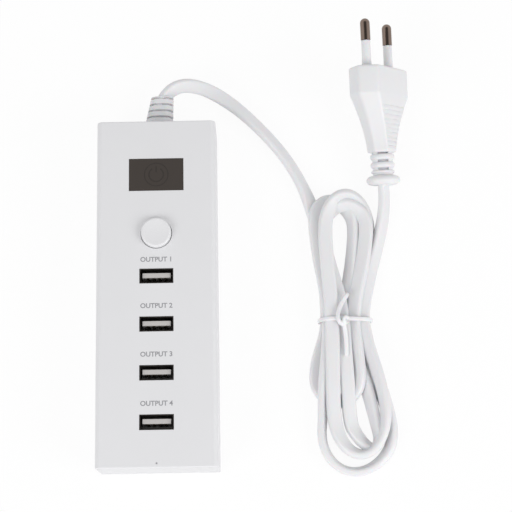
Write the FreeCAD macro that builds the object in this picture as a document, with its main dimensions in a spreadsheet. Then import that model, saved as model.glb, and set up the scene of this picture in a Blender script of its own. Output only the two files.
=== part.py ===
"""Multi-port desk charger with a push switch, four vertical sockets and a hanked mains lead.

Millimetres. The origin is the centre of the case's underside, +Y runs along the case towards
the mains lead, +X is to the right and +Z is up, the way the sockets face.
"""
import FreeCAD, Part
import math
import os
import re

import Sketcher

# Driving sizes in millimetres and degrees; each becomes a cell of the sheet, with its name as alias
SIZES = {
    # The two-shell case
    "housing_width": 48.0,
    "housing_length": 140.0,
    "housing_height": 26.0,
    "wall_thickness": 2.0,
    "roof_thickness": 2.0,
    "floor_thickness": 2.0,
    "seam_height": 12.0,
    "long_edge_radius": 2.2,
    "corner_radius": 0.5,
    "seam_chamfer": 0.25,
    "lip_height": 1.2,
    "slip_fit": 0.1,
    "mark_diameter": 0.7,
    "mark_depth": 0.8,
    "mark_inset": 1.7,
    # Case screws, driven from below into blind bosses
    "screw_inset_across": 6.0,
    "screw_inset_along": 7.0,
    "boss_diameter": 7.0,
    "post_step": 0.5,
    "screw_shank": 2.6,
    "screw_hole": 2.8,
    "screw_pilot_depth": 9.0,
    "screw_length": 14.0,
    "screw_head": 5.4,
    "screw_head_height": 1.7,
    "head_bore": 6.2,
    "head_bore_depth": 6.0,
    # Smoked indicator window and the lamp behind it
    "window_width": 22.0,
    "window_length": 13.5,
    "window_centre": 47.4,
    "window_flange": 2.0,
    "window_flange_thickness": 1.0,
    "window_corner": 0.7,
    "lamp_diameter": 5.0,
    "lamp_height": 8.6,
    "lamp_rim": 5.8,
    "lamp_rim_height": 1.0,
    # Push button and its latching switch
    "button_diameter": 12.1,
    "button_centre": 23.0,
    "button_proud": 2.4,
    "button_travel": 2.0,
    "button_clearance": 0.25,
    "button_dish_depth": 0.45,
    "button_rim_width": 0.9,
    "button_edge_radius": 0.8,
    "button_cap_thickness": 2.2,
    "button_wall": 1.4,
    "button_flange_width": 0.9,
    "button_flange_height": 1.2,
    "button_stem": 5.2,
    "guide_depth": 3.0,
    "guide_wall": 1.4,
    "plunger_diameter": 3.0,
    "plunger_grip": 2.8,
    "plunger_slack": 0.4,
    "switch_width": 8.5,
    "switch_height": 5.0,
    "switch_floor": 0.4,
    # Vertical sockets
    "port_count": 4,
    "port_first": 5.65,
    "port_pitch": 19.35,
    "port_clearance": 0.2,
    "port_recess": 0.4,
    "shell_width": 13.1,
    "shell_depth": 5.7,
    "shell_height": 14.0,
    "shell_sheet": 0.3,
    "insulator_height": 4.0,
    "tongue_width": 11.1,
    "tongue_thickness": 1.84,
    "tongue_offset": 0.4,
    "tongue_recess": 1.0,
    "contact_width": 1.1,
    "contact_thickness": 0.25,
    "contact_pitch": 2.3,
    "contact_recess": 0.8,
    # Circuit board and what stands on it
    "board_thickness": 1.6,
    "board_side_gap": 1.0,
    "board_end_gap": 13.0,
    "board_post": 5.0,
    "board_post_inset": 3.5,
    "core_width": 16.0,
    "core_length": 16.0,
    "core_thickness": 5.0,
    "core_leg": 4.0,
    "core_back": 3.0,
    "core_wall_gap": 1.3,
    "core_along": 38.5,
    "bobbin_flange": 0.7,
    "bobbin_height": 10.6,
    "bobbin_wall": 0.6,
    "winding_gap": 0.15,
    "bulk_diameter": 10.0,
    "bulk_length": 16.0,
    "bulk_across": 13.5,
    "bulk_along": 15.0,
    "can_diameter": 8.0,
    "can_height": 11.0,
    "can_across": 13.5,
    "can_groove": 0.5,
    "bridge_width": 8.0,
    "bridge_length": 6.4,
    "bridge_height": 3.2,
    "fuse_diameter": 5.2,
    "fuse_length": 15.0,
    "fuse_cap": 4.0,
    "fuse_cap_step": 0.4,
    "choke_diameter": 8.0,
    "choke_height": 9.0,
    "choke_flange": 1.5,
    "chip_width": 6.4,
    "chip_length": 9.4,
    "chip_height": 3.3,
    "coupler_length": 4.6,
    "disc_diameter": 8.0,
    "disc_thickness": 3.6,
    "disc_end_gap": 2.8,
    "lead_wire": 2.0,
    # Strain relief at the north wall
    "relief_length": 14.4,
    "relief_lean": 1.7,
    "relief_base_width": 12.2,
    "relief_base_height": 8.6,
    "relief_tip_width": 9.4,
    "relief_tip_height": 6.6,
    "relief_groove_count": 5,
    "relief_groove_pitch": 2.75,
    "relief_groove_first": 2.6,
    "relief_groove_width": 0.9,
    "relief_groove_depth": 1.5,
    "neck_width": 8.0,
    "neck_height": 5.6,
    "anchor_width": 11.0,
    "anchor_height": 8.0,
    "anchor_length": 3.0,
    # Mains lead, its hank and the tie round the hank's waist
    "cord_diameter": 4.5,
    "lead_exit_run": 3.4,
    "tail_exit_run": 6.4,
    "hank_height": 9.0,
    "hank_edge_radius": 2.0,
    "hank_waist_width": 22.8,
    "hank_waist_across": 75.3,
    "hank_waist_along": -9.5,
    "hank_top_radius": 14.0,
    "hank_top_across": 75.2,
    "hank_top_along": 32.0,
    "hank_bottom_radius": 16.5,
    "hank_bottom_across": 79.8,
    "hank_bottom_along": -56.0,
    "tie_width": 3.0,
    "tie_thickness": 0.9,
    # Flat two-pin plug, laid on one slanted facet and on its collar
    "plug_width": 35.3,
    "plug_flat": 26.1,
    "plug_thickness": 13.7,
    "plug_block_length": 11.5,
    "plug_taper_length": 25.0,
    "plug_waist_width": 13.0,
    "plug_waist_flat": 8.6,
    "plug_waist_thickness": 10.4,
    "plug_edge_radius": 1.6,
    "plug_grip_count": 10,
    "plug_grip_first": 2.0,
    "plug_grip_pitch": 1.95,
    "plug_grip_width": 0.75,
    "plug_grip_depth": 0.45,
    "plug_grip_margin": 1.2,
    "plug_neck_diameter": 10.2,
    "plug_neck_length": 10.0,
    "plug_ring_depth": 0.9,
    "plug_ring_radius": 0.45,
    "plug_slot_count": 3,
    "plug_slot_width": 1.2,
    "plug_slot_span": 4.6,
    "plug_slot_depth": 2.5,
    "plug_collar_diameter": 13.8,
    "plug_collar_length": 4.0,
    "plug_collar_radius": 1.7,
    "plug_face_across": 91.7,
    "plug_face_along": 95.2,
    "plug_yaw": 1.7,
    "pin_spacing": 18.6,
    "pin_diameter": 4.0,
    "pin_core": 2.6,
    "pin_sleeve_diameter": 3.4,
    "pin_length": 19.0,
    "pin_sleeve_length": 10.0,
    "pin_root_length": 9.0,
    "pin_fit": 0.05,
}

# Route of the lead from the strain relief into the hank, and of the tail from the hank on
LEAD_ROUTE = [
    (3.8, 90.3, 11.9),
    (8.2, 91.5, 11.6),
    (14.2, 91.0, 10.8),
    (20.4, 89.0, 9.6),
    (27.2, 85.4, 8.0),
    (35.0, 79.6, 6.2),
    (43.0, 72.0, 4.5),
    (50.5, 63.6, 3.1),
    (56.2, 54.9, 2.5),
    (60.4, 46.2, 2.4),
    (63.2, 38.0, 2.5),
    (65.2, 30.0, 2.6),
]
TAIL_ROUTE = [
    (87.6, 10.0, 2.9),
    (89.6, 17.4, 2.5),
    (91.4, 25.0, 2.6),
    (92.8, 32.2, 3.7),
]

V = FreeCAD.Vector
UP = V(0, 0, 1)
SIZE_NAME = re.compile(r"[a-z]+(?:_[a-z]+)+")

doc = FreeCAD.newDocument("multi_port_charger")
sheet = doc.addObject("Spreadsheet::Sheet", "Sizes")
nodes = []
for row, (alias, number) in enumerate(SIZES.items(), 1):
    sheet.set(f"A{row}", alias)
    sheet.set(f"B{row}", str(number))
    sheet.setAlias(f"B{row}", alias)
doc.recompute()


def size(alias):
    """Read one driving size."""
    return float(sheet.get(alias))


def formula(text):
    """Turn a formula in size names into an expression on the sheet's cells."""
    return SIZE_NAME.sub(lambda found: f"Sizes.{found.group(0)}", str(text))


def value(text):
    """Work out a formula in size names."""
    return float(sheet.evalExpression(formula(text)))


def bind(thing, **properties):
    """Bind properties to formulas; a double underscore stands for a dot in the property's path."""
    for path, text in properties.items():
        thing.setExpression(path.replace("__", "."), formula(text))


def keep(label, thing):
    """Name a finished sub-part, which becomes one file."""
    thing.Label = label
    nodes.append(thing)
    return thing


# Part design helpers


def new_body(label):
    """Start a part design body as a sub-part of its own."""
    return keep(label, doc.addObject("PartDesign::Body", label))


def plane(body, role):
    """Find one of a body's origin planes."""
    return next(item for item in body.Origin.OriginFeatures if item.Role == role)


def new_sketch(body, role="XY_Plane", x=0, y=0, z=0):
    """Attach a sketch to an origin plane; z runs along the plane's normal."""
    sketch = body.newObject("Sketcher::SketchObject", "Sketch")
    sketch.AttachmentSupport = [(plane(body, role), "")]
    sketch.MapMode = "FlatFace"
    bind(sketch, AttachmentOffset__Base__x=x, AttachmentOffset__Base__y=y, AttachmentOffset__Base__z=z)
    return sketch


def datum(sketch, kind, places, text):
    """Add a dimension bound to a formula."""
    index = sketch.addConstraint(Sketcher.Constraint(kind, *places, value(text)))
    name = f"size_{index}"
    sketch.renameConstraint(index, name)
    sketch.setExpression(f".Constraints.{name}", formula(text))


def outline(sketch, points):
    """Draw a closed outline of straight lines through points given as pairs of formulas."""
    first = sketch.GeometryCount
    count = len(points)
    spots = [V(value(across), value(along), 0) for across, along in points]
    for number in range(count):
        sketch.addGeometry(Part.LineSegment(spots[number], spots[(number + 1) % count]), False)
    for number in range(count):
        follower = first + (number + 1) % count
        sketch.addConstraint(Sketcher.Constraint("Coincident", first + number, 2, follower, 1))
    for number, (across, along) in enumerate(points):
        datum(sketch, "DistanceX", (-1, 1, first + number, 1), across)
        datum(sketch, "DistanceY", (-1, 1, first + number, 1), along)
    return sketch


def rectangle(sketch, width, length, x="0", y="0"):
    """Draw a rectangle about a centre."""
    left = f"{x} - ({width}) / 2"
    right = f"{x} + ({width}) / 2"
    south = f"{y} - ({length}) / 2"
    north = f"{y} + ({length}) / 2"
    return outline(sketch, [(left, south), (right, south), (right, north), (left, north)])


def circle(sketch, diameter, x="0", y="0"):
    """Draw a circle about a centre."""
    spot = V(value(x), value(y), 0)
    index = sketch.addGeometry(Part.Circle(spot, UP, value(diameter) / 2), False)
    datum(sketch, "Diameter", (index,), diameter)
    datum(sketch, "DistanceX", (-1, 1, index, 3), x)
    datum(sketch, "DistanceY", (-1, 1, index, 3), y)
    return sketch


def stadium(sketch, width, height, x="0"):
    """Draw two half circles joined by two level lines, centred at a distance along the sketch's x."""
    radius = value(height) / 2
    half = value(width) / 2 - radius
    middle = value(x)
    right = Part.Circle(V(middle + half, 0, 0), UP, radius)
    left = Part.Circle(V(middle - half, 0, 0), UP, radius)
    quarter = math.pi / 2
    pieces = [
        Part.ArcOfCircle(right, -quarter, quarter),
        Part.LineSegment(V(middle + half, radius, 0), V(middle - half, radius, 0)),
        Part.ArcOfCircle(left, quarter, 3 * quarter),
        Part.LineSegment(V(middle - half, -radius, 0), V(middle + half, -radius, 0)),
    ]
    first = sketch.GeometryCount
    for piece in pieces:
        sketch.addGeometry(piece, False)
    for number in range(4):
        follower = first + (number + 1) % 4
        sketch.addConstraint(Sketcher.Constraint("Tangent", first + number, 2, follower, 1))
    datum(sketch, "Diameter", (first,), height)
    datum(sketch, "DistanceX", (-1, 1, first, 3), f"{x} + (({width}) - ({height})) / 2")
    datum(sketch, "DistanceX", (-1, 1, first + 2, 3), f"{x} - (({width}) - ({height})) / 2")
    datum(sketch, "DistanceY", (-1, 1, first, 3), "0")
    datum(sketch, "DistanceY", (-1, 1, first + 2, 3), "0")
    return sketch


def extrude(body, kind, sketch, length, along_normal):
    """Add a Pad or a Pocket of a given length, along the sketch's normal or against it."""
    feature = body.newObject(f"PartDesign::{kind}", kind)
    feature.Profile = sketch
    feature.Reversed = along_normal if kind == "Pocket" else not along_normal
    bind(feature, Length=length)
    doc.recompute()
    return feature


def pad(body, sketch, length, along_normal=True):
    """Raise a solid from a sketch."""
    return extrude(body, "Pad", sketch, length, along_normal)


def pocket(body, sketch, length, along_normal=False):
    """Cut a sketch into the body and see that it took something away."""
    before = body.Shape.Volume
    feature = extrude(body, "Pocket", sketch, length, along_normal)
    if body.Shape.Volume > before * 0.999999:
        raise RuntimeError(f"a pocket in {body.Label} cuts nothing")
    return feature


def break_edges(body, kind, chosen, **sizes):
    """Add a Fillet or a Chamfer on the edges of a body's last feature that a test chooses."""
    base = body.Tip
    names = [f"Edge{number}" for number, edge in enumerate(base.Shape.Edges, 1) if chosen(edge)]
    feature = body.newObject(f"PartDesign::{kind}", kind)
    feature.Base = (base, names)
    bind(feature, **sizes)
    doc.recompute()
    return feature


def fillet(body, radius, chosen):
    """Round chosen edges."""
    return break_edges(body, "Fillet", chosen, Radius=radius)


def chamfer(body, width, chosen):
    """Bevel chosen edges."""
    return break_edges(body, "Chamfer", chosen, Size=width)


def edge_box(edge):
    """Give an edge's bounding box."""
    return edge.BoundBox


def near(first, second):
    """Say whether two lengths agree."""
    return abs(first - second) < 1e-4


def at_seam(edge):
    """Say whether an edge lies in the plane where the two shells meet."""
    reach = edge_box(edge)
    return near(reach.ZMin, size("seam_height")) and near(reach.ZMax, size("seam_height"))


# Primitive helpers


def box(width, length, height, x="0", y="0", z="0"):
    """Make a block about a centre in x and y, standing at a height."""
    block = doc.addObject("Part::Box", "Block")
    bind(block, Length=width, Width=length, Height=height)
    bind(block, Placement__Base__x=f"{x} - ({width}) / 2", Placement__Base__y=f"{y} - ({length}) / 2")
    bind(block, Placement__Base__z=z)
    return block


def cylinder(diameter, height, x="0", y="0", z="0", turn=None):
    """Make a round bar from a base point, upright or turned."""
    bar = doc.addObject("Part::Cylinder", "Bar")
    if turn is not None:
        bar.Placement.Rotation = turn
    bind(bar, Radius=f"({diameter}) / 2", Height=height)
    bind(bar, Placement__Base__x=x, Placement__Base__y=y, Placement__Base__z=z)
    return bar


def fuse(*shapes):
    """Join shapes into one solid."""
    joined = doc.addObject("Part::MultiFuse", "Joined")
    joined.Shapes = list(shapes)
    joined.Refine = True
    return joined


def cut(base, *tools):
    """Take tools away from a base."""
    for tool in tools:
        rest = doc.addObject("Part::Cut", "Rest")
        rest.Base = base
        rest.Tool = tool
        base = rest
    return base


def group(*shapes):
    """Hold separate solids together in one sub-part."""
    held = doc.addObject("Part::Compound", "Held")
    held.Links = list(shapes)
    return held


ALONG_Y = FreeCAD.Rotation(V(1, 0, 0), -90)

# Heights and places that several pieces share
MOUTH = "housing_height - port_recess"
BOARD_TOP = f"{MOUTH} - shell_height"
ROOF_INSIDE = "housing_height - roof_thickness"
GUIDE_END = f"{ROOF_INSIDE} - guide_depth"
NORTH = "housing_length / 2"
CAVITY_WIDTH = "housing_width - 2 * wall_thickness"
CAVITY_LENGTH = "housing_length - 2 * wall_thickness"
PLUG_WAIST = "plug_block_length + plug_taper_length"


def port_along(number):
    """Give the place of a socket along the case, counted from the button."""
    return f"port_first - {number} * port_pitch"


def screw_places():
    """List the four screw places as pairs of formulas."""
    across = "(housing_width / 2 - screw_inset_across)"
    along = "(housing_length / 2 - screw_inset_along)"
    return [(f"{sx} * {across}", f"{sy} * {along}") for sx in (-1, 1) for sy in (-1, 1)]


def post_places():
    """List the four places where the board rests."""
    across = f"(({CAVITY_WIDTH}) / 2 - board_side_gap - board_post_inset)"
    along = f"({NORTH} - board_end_gap - board_post_inset)"
    return [(f"{sx} * {across}", f"{sy} * {along}") for sx in (-1, 1) for sy in (-1, 1)]


def circles(sketch, diameter, places):
    """Draw one circle at each place."""
    for across, along in places:
        circle(sketch, diameter, across, along)
    return sketch


def neck_notch(body):
    """Cut the north wall where the strain relief's neck passes, half in each shell."""
    sketch = new_sketch(body, "XZ_Plane", y="seam_height", z=f"-({NORTH})")
    stadium(sketch, "neck_width + 2 * slip_fit", "neck_height + 2 * slip_fit")
    pocket(body, sketch, "wall_thickness", along_normal=True)


def make_top_cover():
    """Upper shell: roof with window, button and socket openings, bosses and a button guide."""
    body = new_body("top_cover")
    height = size("housing_height")
    half_width = size("housing_width") / 2
    half_length = size("housing_length") / 2
    sketch = rectangle(new_sketch(body, z="seam_height"), "housing_width", "housing_length")
    pad(body, sketch, "housing_height - seam_height")

    def long_top(edge):
        reach = edge_box(edge)
        return near(reach.ZMin, height) and near(reach.XLength, 0) and near(abs(reach.XMin), half_width)

    fillet(body, "long_edge_radius", long_top)

    def end_rim(edge):
        reach = edge_box(edge)
        on_end = near(reach.YLength, 0) and near(abs(reach.YMin), half_length)
        return on_end and reach.ZMax > size("seam_height") + 1e-3

    fillet(body, "corner_radius", end_rim)
    chamfer(body, "seam_chamfer", at_seam)
    rebate = new_sketch(body, z="seam_height")
    rectangle(rebate, "housing_width - wall_thickness", "housing_length - wall_thickness")
    pocket(body, rebate, "lip_height + slip_fit", along_normal=True)
    cavity = rectangle(new_sketch(body, z="seam_height"), CAVITY_WIDTH, CAVITY_LENGTH)
    pocket(body, cavity, f"{ROOF_INSIDE} - seam_height", along_normal=True)

    openings = new_sketch(body, z="housing_height")
    rectangle(openings, "window_width", "window_length", y="window_centre")
    circle(openings, "button_diameter + 2 * button_clearance", y="button_centre")
    for number in range(int(size("port_count"))):
        rectangle(
            openings,
            "shell_width + 2 * port_clearance",
            "shell_depth + 2 * port_clearance",
            y=port_along(number),
        )
    pocket(body, openings, "roof_thickness")
    mark = circle(new_sketch(body, z="housing_height"), "mark_diameter", y="mark_inset - housing_length / 2")
    pocket(body, mark, "mark_depth")

    guide = new_sketch(body, z=ROOF_INSIDE)
    circle(guide, "button_diameter + 2 * button_clearance + 2 * guide_wall", y="button_centre")
    circle(guide, "button_diameter + 2 * button_clearance", y="button_centre")
    pad(body, guide, "guide_depth", along_normal=False)

    bosses = circles(new_sketch(body, z=ROOF_INSIDE), "boss_diameter", screw_places())
    pad(body, bosses, f"{ROOF_INSIDE} - seam_height", along_normal=False)
    pilots = circles(new_sketch(body, z="seam_height"), "screw_hole", screw_places())
    pocket(body, pilots, "screw_pilot_depth", along_normal=True)
    neck_notch(body)


def make_bottom_cover():
    """Lower shell: tray with a tongue at the seam, screw posts bored from below and board posts."""
    body = new_body("bottom_cover")
    seam = size("seam_height")
    sketch = rectangle(new_sketch(body), "housing_width", "housing_length")
    pad(body, sketch, "seam_height")
    fillet(body, "corner_radius", lambda edge: edge_box(edge).ZMin < seam - 1e-3)
    chamfer(body, "seam_chamfer", at_seam)
    cavity = rectangle(new_sketch(body, z="seam_height"), CAVITY_WIDTH, CAVITY_LENGTH)
    pocket(body, cavity, "seam_height - floor_thickness")

    lip = new_sketch(body, z="seam_height")
    shrink = "(wall_thickness + 2 * slip_fit)"
    rectangle(lip, f"housing_width - {shrink}", f"housing_length - {shrink}")
    rectangle(lip, CAVITY_WIDTH, CAVITY_LENGTH)
    pad(body, lip, "lip_height")

    posts = circles(new_sketch(body, z="floor_thickness"), "boss_diameter + 2 * post_step", screw_places())
    pad(body, posts, "seam_height - floor_thickness")
    rests = circles(new_sketch(body, z="floor_thickness"), "board_post", post_places())
    pad(body, rests, f"{BOARD_TOP} - board_thickness - floor_thickness")
    bores = circles(new_sketch(body), "head_bore", screw_places())
    pocket(body, bores, "head_bore_depth", along_normal=True)
    holes = circles(new_sketch(body), "screw_hole", screw_places())
    pocket(body, holes, "seam_height", along_normal=True)
    neck_notch(body)


def make_case_screws():
    """Four pan-head screws seated in the lower shell's bores."""
    screws = []
    for across, along in screw_places():
        head_low = "head_bore_depth - screw_head_height"
        head = cylinder("screw_head", "screw_head_height", across, along, head_low)
        shank = cylinder("screw_shank", "screw_length", across, along, "head_bore_depth")
        screws.append(fuse(head, shank))
    keep("case_screws", group(*screws))


def make_indicator():
    """Smoked window dropped in from inside against its flange, and the lamp under it."""
    body = new_body("indicator_window")
    lens = new_sketch(body, z=ROOF_INSIDE)
    rectangle(lens, "window_width - 2 * slip_fit", "window_length - 2 * slip_fit", y="window_centre")
    pad(body, lens, "roof_thickness")
    fillet(body, "window_corner", lambda edge: edge_box(edge).ZLength > 1)
    flange = new_sketch(body, z=ROOF_INSIDE)
    step = "2 * window_flange"
    rectangle(flange, f"window_width + {step}", f"window_length + {step}", y="window_centre")
    pad(body, flange, "window_flange_thickness", along_normal=False)

    rim = cylinder("lamp_rim", "lamp_rim_height", "0", "window_centre", BOARD_TOP)
    barrel = cylinder("lamp_diameter", "lamp_height - lamp_diameter / 2", "0", "window_centre", BOARD_TOP)
    dome = doc.addObject("Part::Sphere", "Dome")
    bind(dome, Radius="lamp_diameter / 2", Placement__Base__y="window_centre")
    bind(dome, Placement__Base__z=f"{BOARD_TOP} + lamp_height - lamp_diameter / 2")
    keep("indicator_led", fuse(rim, barrel, dome))


def make_power_button():
    """Dished round cap with a skirt, a stop flange under the guide and a stem on the plunger."""
    body = new_body("power_button")
    top = "housing_height + button_proud"
    roof = f"{top} - button_cap_thickness"
    flange_top = f"{GUIDE_END} - slip_fit"
    flange_low = f"{flange_top} - button_flange_height"
    outer = "button_diameter / 2"
    flange = f"{outer} + button_clearance + button_flange_width"
    socket = "plunger_diameter / 2 + pin_fit"
    profile = new_sketch(body, "XZ_Plane", z="-button_centre")
    outline(profile, [
        ("0", top),
        (outer, top),
        (outer, flange_top),
        (flange, flange_top),
        (flange, flange_low),
        (f"{outer} - button_wall", flange_low),
        (f"{outer} - button_wall", roof),
        ("button_stem / 2", roof),
        ("button_stem / 2", flange_low),
        (socket, flange_low),
        (socket, f"{flange_low} + plunger_grip"),
        ("0", f"{flange_low} + plunger_grip"),
    ])
    turned = body.newObject("PartDesign::Revolution", "Revolution")
    turned.Profile = profile
    turned.ReferenceAxis = (profile, ["V_Axis"])
    doc.recompute()
    dish_reach = "(button_diameter / 2 - button_rim_width)"
    dish_radius = f"({dish_reach}^2 + button_dish_depth^2) / (2 * button_dish_depth)"
    dish = body.newObject("PartDesign::SubtractiveSphere", "Dish")
    dish.AttachmentSupport = [(plane(body, "XY_Plane"), "")]
    dish.MapMode = "FlatFace"
    bind(dish, Radius=dish_radius, AttachmentOffset__Base__y="button_centre")
    bind(dish, AttachmentOffset__Base__z=f"{top} - button_dish_depth + {dish_radius}")
    doc.recompute()
    crown = size("housing_height") + size("button_proud")
    reach = size("button_diameter") / 2

    def outer_rim(edge):
        span = edge_box(edge)
        return near(span.ZMin, crown) and near(span.XMax, reach)

    fillet(body, "button_edge_radius", outer_rim)


def make_switch():
    """Plunger that carries the button, and the latching switch that it slides in."""
    plunger_low = f"{BOARD_TOP} + switch_floor + button_travel + plunger_slack"
    plunger_top = f"{GUIDE_END} - slip_fit - button_flange_height + plunger_grip"
    plunger_length = f"({plunger_top}) - ({plunger_low})"
    plunger = cylinder("plunger_diameter", plunger_length, "0", "button_centre", plunger_low)
    keep("switch_plunger", plunger)
    body = new_body("switch_body")
    case = rectangle(new_sketch(body, z=BOARD_TOP), "switch_width", "switch_width", y="button_centre")
    pad(body, case, "switch_height")
    bore = new_sketch(body, z=f"{BOARD_TOP} + switch_height")
    circle(bore, "plunger_diameter + 4 * slip_fit", y="button_centre")
    pocket(body, bore, "switch_height - switch_floor")


def make_socket(number):
    """One vertical socket: folded shell, moulded base with its tongue, and four contacts."""
    label = number + 1
    along = port_along(number)
    shell = new_body(f"usb_shell_{label}")
    outside = new_sketch(shell, z=BOARD_TOP)
    rectangle(outside, "shell_width", "shell_depth", y=along)
    pad(shell, outside, "shell_height")
    inside = new_sketch(shell, z=MOUTH)
    rectangle(inside, "shell_width - 2 * shell_sheet", "shell_depth - 2 * shell_sheet", y=along)
    pocket(shell, inside, "shell_height")

    insulator = new_body(f"usb_insulator_{label}")
    base = new_sketch(insulator, z=BOARD_TOP)
    rectangle(base, "shell_width - 2 * shell_sheet", "shell_depth - 2 * shell_sheet", y=along)
    pad(insulator, base, "insulator_height")
    tongue_along = f"{along} + tongue_offset"
    tongue = new_sketch(insulator, z=f"{BOARD_TOP} + insulator_height")
    rectangle(tongue, "tongue_width", "tongue_thickness", y=tongue_along)
    pad(insulator, tongue, "shell_height - insulator_height - tongue_recess")

    contacts = []
    for place in (-1.5, -0.5, 0.5, 1.5):
        contacts.append(box(
            "contact_width",
            "contact_thickness",
            "shell_height - insulator_height - tongue_recess - contact_recess",
            f"{place} * contact_pitch",
            f"{tongue_along} - tongue_thickness / 2 - contact_thickness / 2",
            f"{BOARD_TOP} + insulator_height",
        ))
    keep(f"usb_contacts_{label}", group(*contacts))


def make_board():
    """Circuit board resting on the lower shell's posts."""
    body = new_body("circuit_board")
    sketch = new_sketch(body, z=f"{BOARD_TOP} - board_thickness")
    rectangle(sketch, f"{CAVITY_WIDTH} - 2 * board_side_gap", "housing_length - 2 * board_end_gap")
    pad(body, sketch, "board_thickness")


def make_transformer():
    """Ferrite core of two back bars and three legs, its bobbin and the winding round the middle leg."""
    across = f"(({CAVITY_WIDTH}) / 2 - core_wall_gap - core_width / 2)"
    along = "core_along"
    middle = f"{BOARD_TOP} + bobbin_height / 2"
    core_low = f"{middle} - core_thickness / 2"
    window_width = "(core_width - core_leg) / 2 - core_leg / 2"
    window_length = "core_length - 2 * core_back"
    window_shift = f"(core_leg / 2 + ({window_width}) / 2)"
    block = box("core_width", "core_length", "core_thickness", across, along, core_low)
    windows = []
    for side in (-1, 1):
        place = f"{across} + {side} * {window_shift}"
        windows.append(box(window_width, window_length, "core_thickness", place, along, core_low))
    keep("transformer_core", cut(block, *windows))

    flange_width = f"core_leg + 2 * ({window_width}) - 2 * winding_gap"
    flange_shift = f"(({window_length}) / 2 - winding_gap - bobbin_flange / 2)"
    pieces = []
    for side in (-1, 1):
        place = f"{along} + {side} * {flange_shift}"
        pieces.append(box(flange_width, "bobbin_flange", "bobbin_height", across, place, BOARD_TOP))
    tube_width = "core_leg + 2 * winding_gap + 2 * bobbin_wall"
    tube_height = "core_thickness + 2 * winding_gap + 2 * bobbin_wall"
    tube_length = f"{window_length} - 2 * winding_gap"
    tube_low = f"{middle} - ({tube_height}) / 2"
    pieces.append(box(tube_width, tube_length, tube_height, across, along, tube_low))
    leg_hole = box(
        "core_leg + 2 * winding_gap", "core_length", "core_thickness + 2 * winding_gap", across, along,
        f"{core_low} - winding_gap",
    )
    keep("transformer_bobbin", cut(fuse(*pieces), leg_hole))

    winding_length = f"{tube_length} - 2 * bobbin_flange"
    turns = box(
        f"{flange_width} - 4 * winding_gap", winding_length, "bobbin_height - 6 * winding_gap", across, along,
        f"{BOARD_TOP} + 3 * winding_gap",
    )
    bore = box(tube_width, winding_length, tube_height, across, along, tube_low)
    keep("transformer_winding", cut(turns, bore))


def make_capacitors():
    """Bulk capacitor lying beside the switch and two output cans standing beside the sockets."""
    low = f"{BOARD_TOP} + bulk_diameter / 2"
    place = "-bulk_across"
    crimp = "bulk_along + can_groove * 3"
    can = cylinder("bulk_diameter", "bulk_length", place, "bulk_along", low, ALONG_Y)
    neck = cylinder("bulk_diameter", "can_groove", place, crimp, low, ALONG_Y)
    core = cylinder("bulk_diameter - 2 * can_groove", "can_groove", place, crimp, low, ALONG_Y)
    keep("bulk_capacitor", cut(can, cut(neck, core)))
    cans = []
    for number in range(2):
        along = f"{port_along(number)} - port_pitch / 2"
        body = cylinder("can_diameter", "can_height", "can_across", along, BOARD_TOP)
        ring_low = f"{BOARD_TOP} + can_groove * 3"
        ring = cylinder("can_diameter", "can_groove", "can_across", along, ring_low)
        inner = cylinder("can_diameter - 2 * can_groove", "can_groove", "can_across", along, ring_low)
        cans.append(cut(body, cut(ring, inner)))
    keep("output_capacitors", group(*cans))


def make_small_parts():
    """Fuse, bridge rectifier, choke, controller, optical coupler and the blue safety capacitor."""
    fuse_low = f"{BOARD_TOP} + fuse_diameter / 2 + fuse_cap_step"
    left = "-bulk_across"
    glass = cylinder("fuse_diameter", "fuse_length", left, "core_along", fuse_low, ALONG_Y)
    caps = []
    for start in ("core_along", "core_along + fuse_length - fuse_cap"):
        caps.append(cylinder("fuse_diameter + 2 * fuse_cap_step", "fuse_cap", left, start, fuse_low, ALONG_Y))
    keep("input_fuse", fuse(glass, *caps))
    bridge = box("bridge_width", "bridge_length", "bridge_height", left, "port_first", BOARD_TOP)
    keep("bridge_rectifier", bridge)

    choke_along = "port_first + bridge_length"
    lower = cylinder("choke_diameter", "choke_flange", "can_across", choke_along, BOARD_TOP)
    drum = cylinder("choke_diameter - 2 * choke_flange", "choke_height", "can_across", choke_along, BOARD_TOP)
    upper_low = f"{BOARD_TOP} + choke_height - choke_flange"
    upper = cylinder("choke_diameter", "choke_flange", "can_across", choke_along, upper_low)
    keep("output_choke", fuse(lower, drum, upper))

    side = "-can_across"
    chip = box("chip_width", "chip_length", "chip_height", side, port_along(1), BOARD_TOP)
    keep("controller_chip", chip)
    coupler = box("chip_width", "coupler_length", "chip_height", side, port_along(2), BOARD_TOP)
    keep("optical_coupler", coupler)
    disc_along = f"board_end_gap + disc_end_gap - {NORTH}"
    disc_low = f"{BOARD_TOP} + disc_diameter / 2"
    disc = cylinder("disc_diameter", "disc_thickness", side, disc_along, disc_low, ALONG_Y)
    keep("safety_capacitor", disc)


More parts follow.
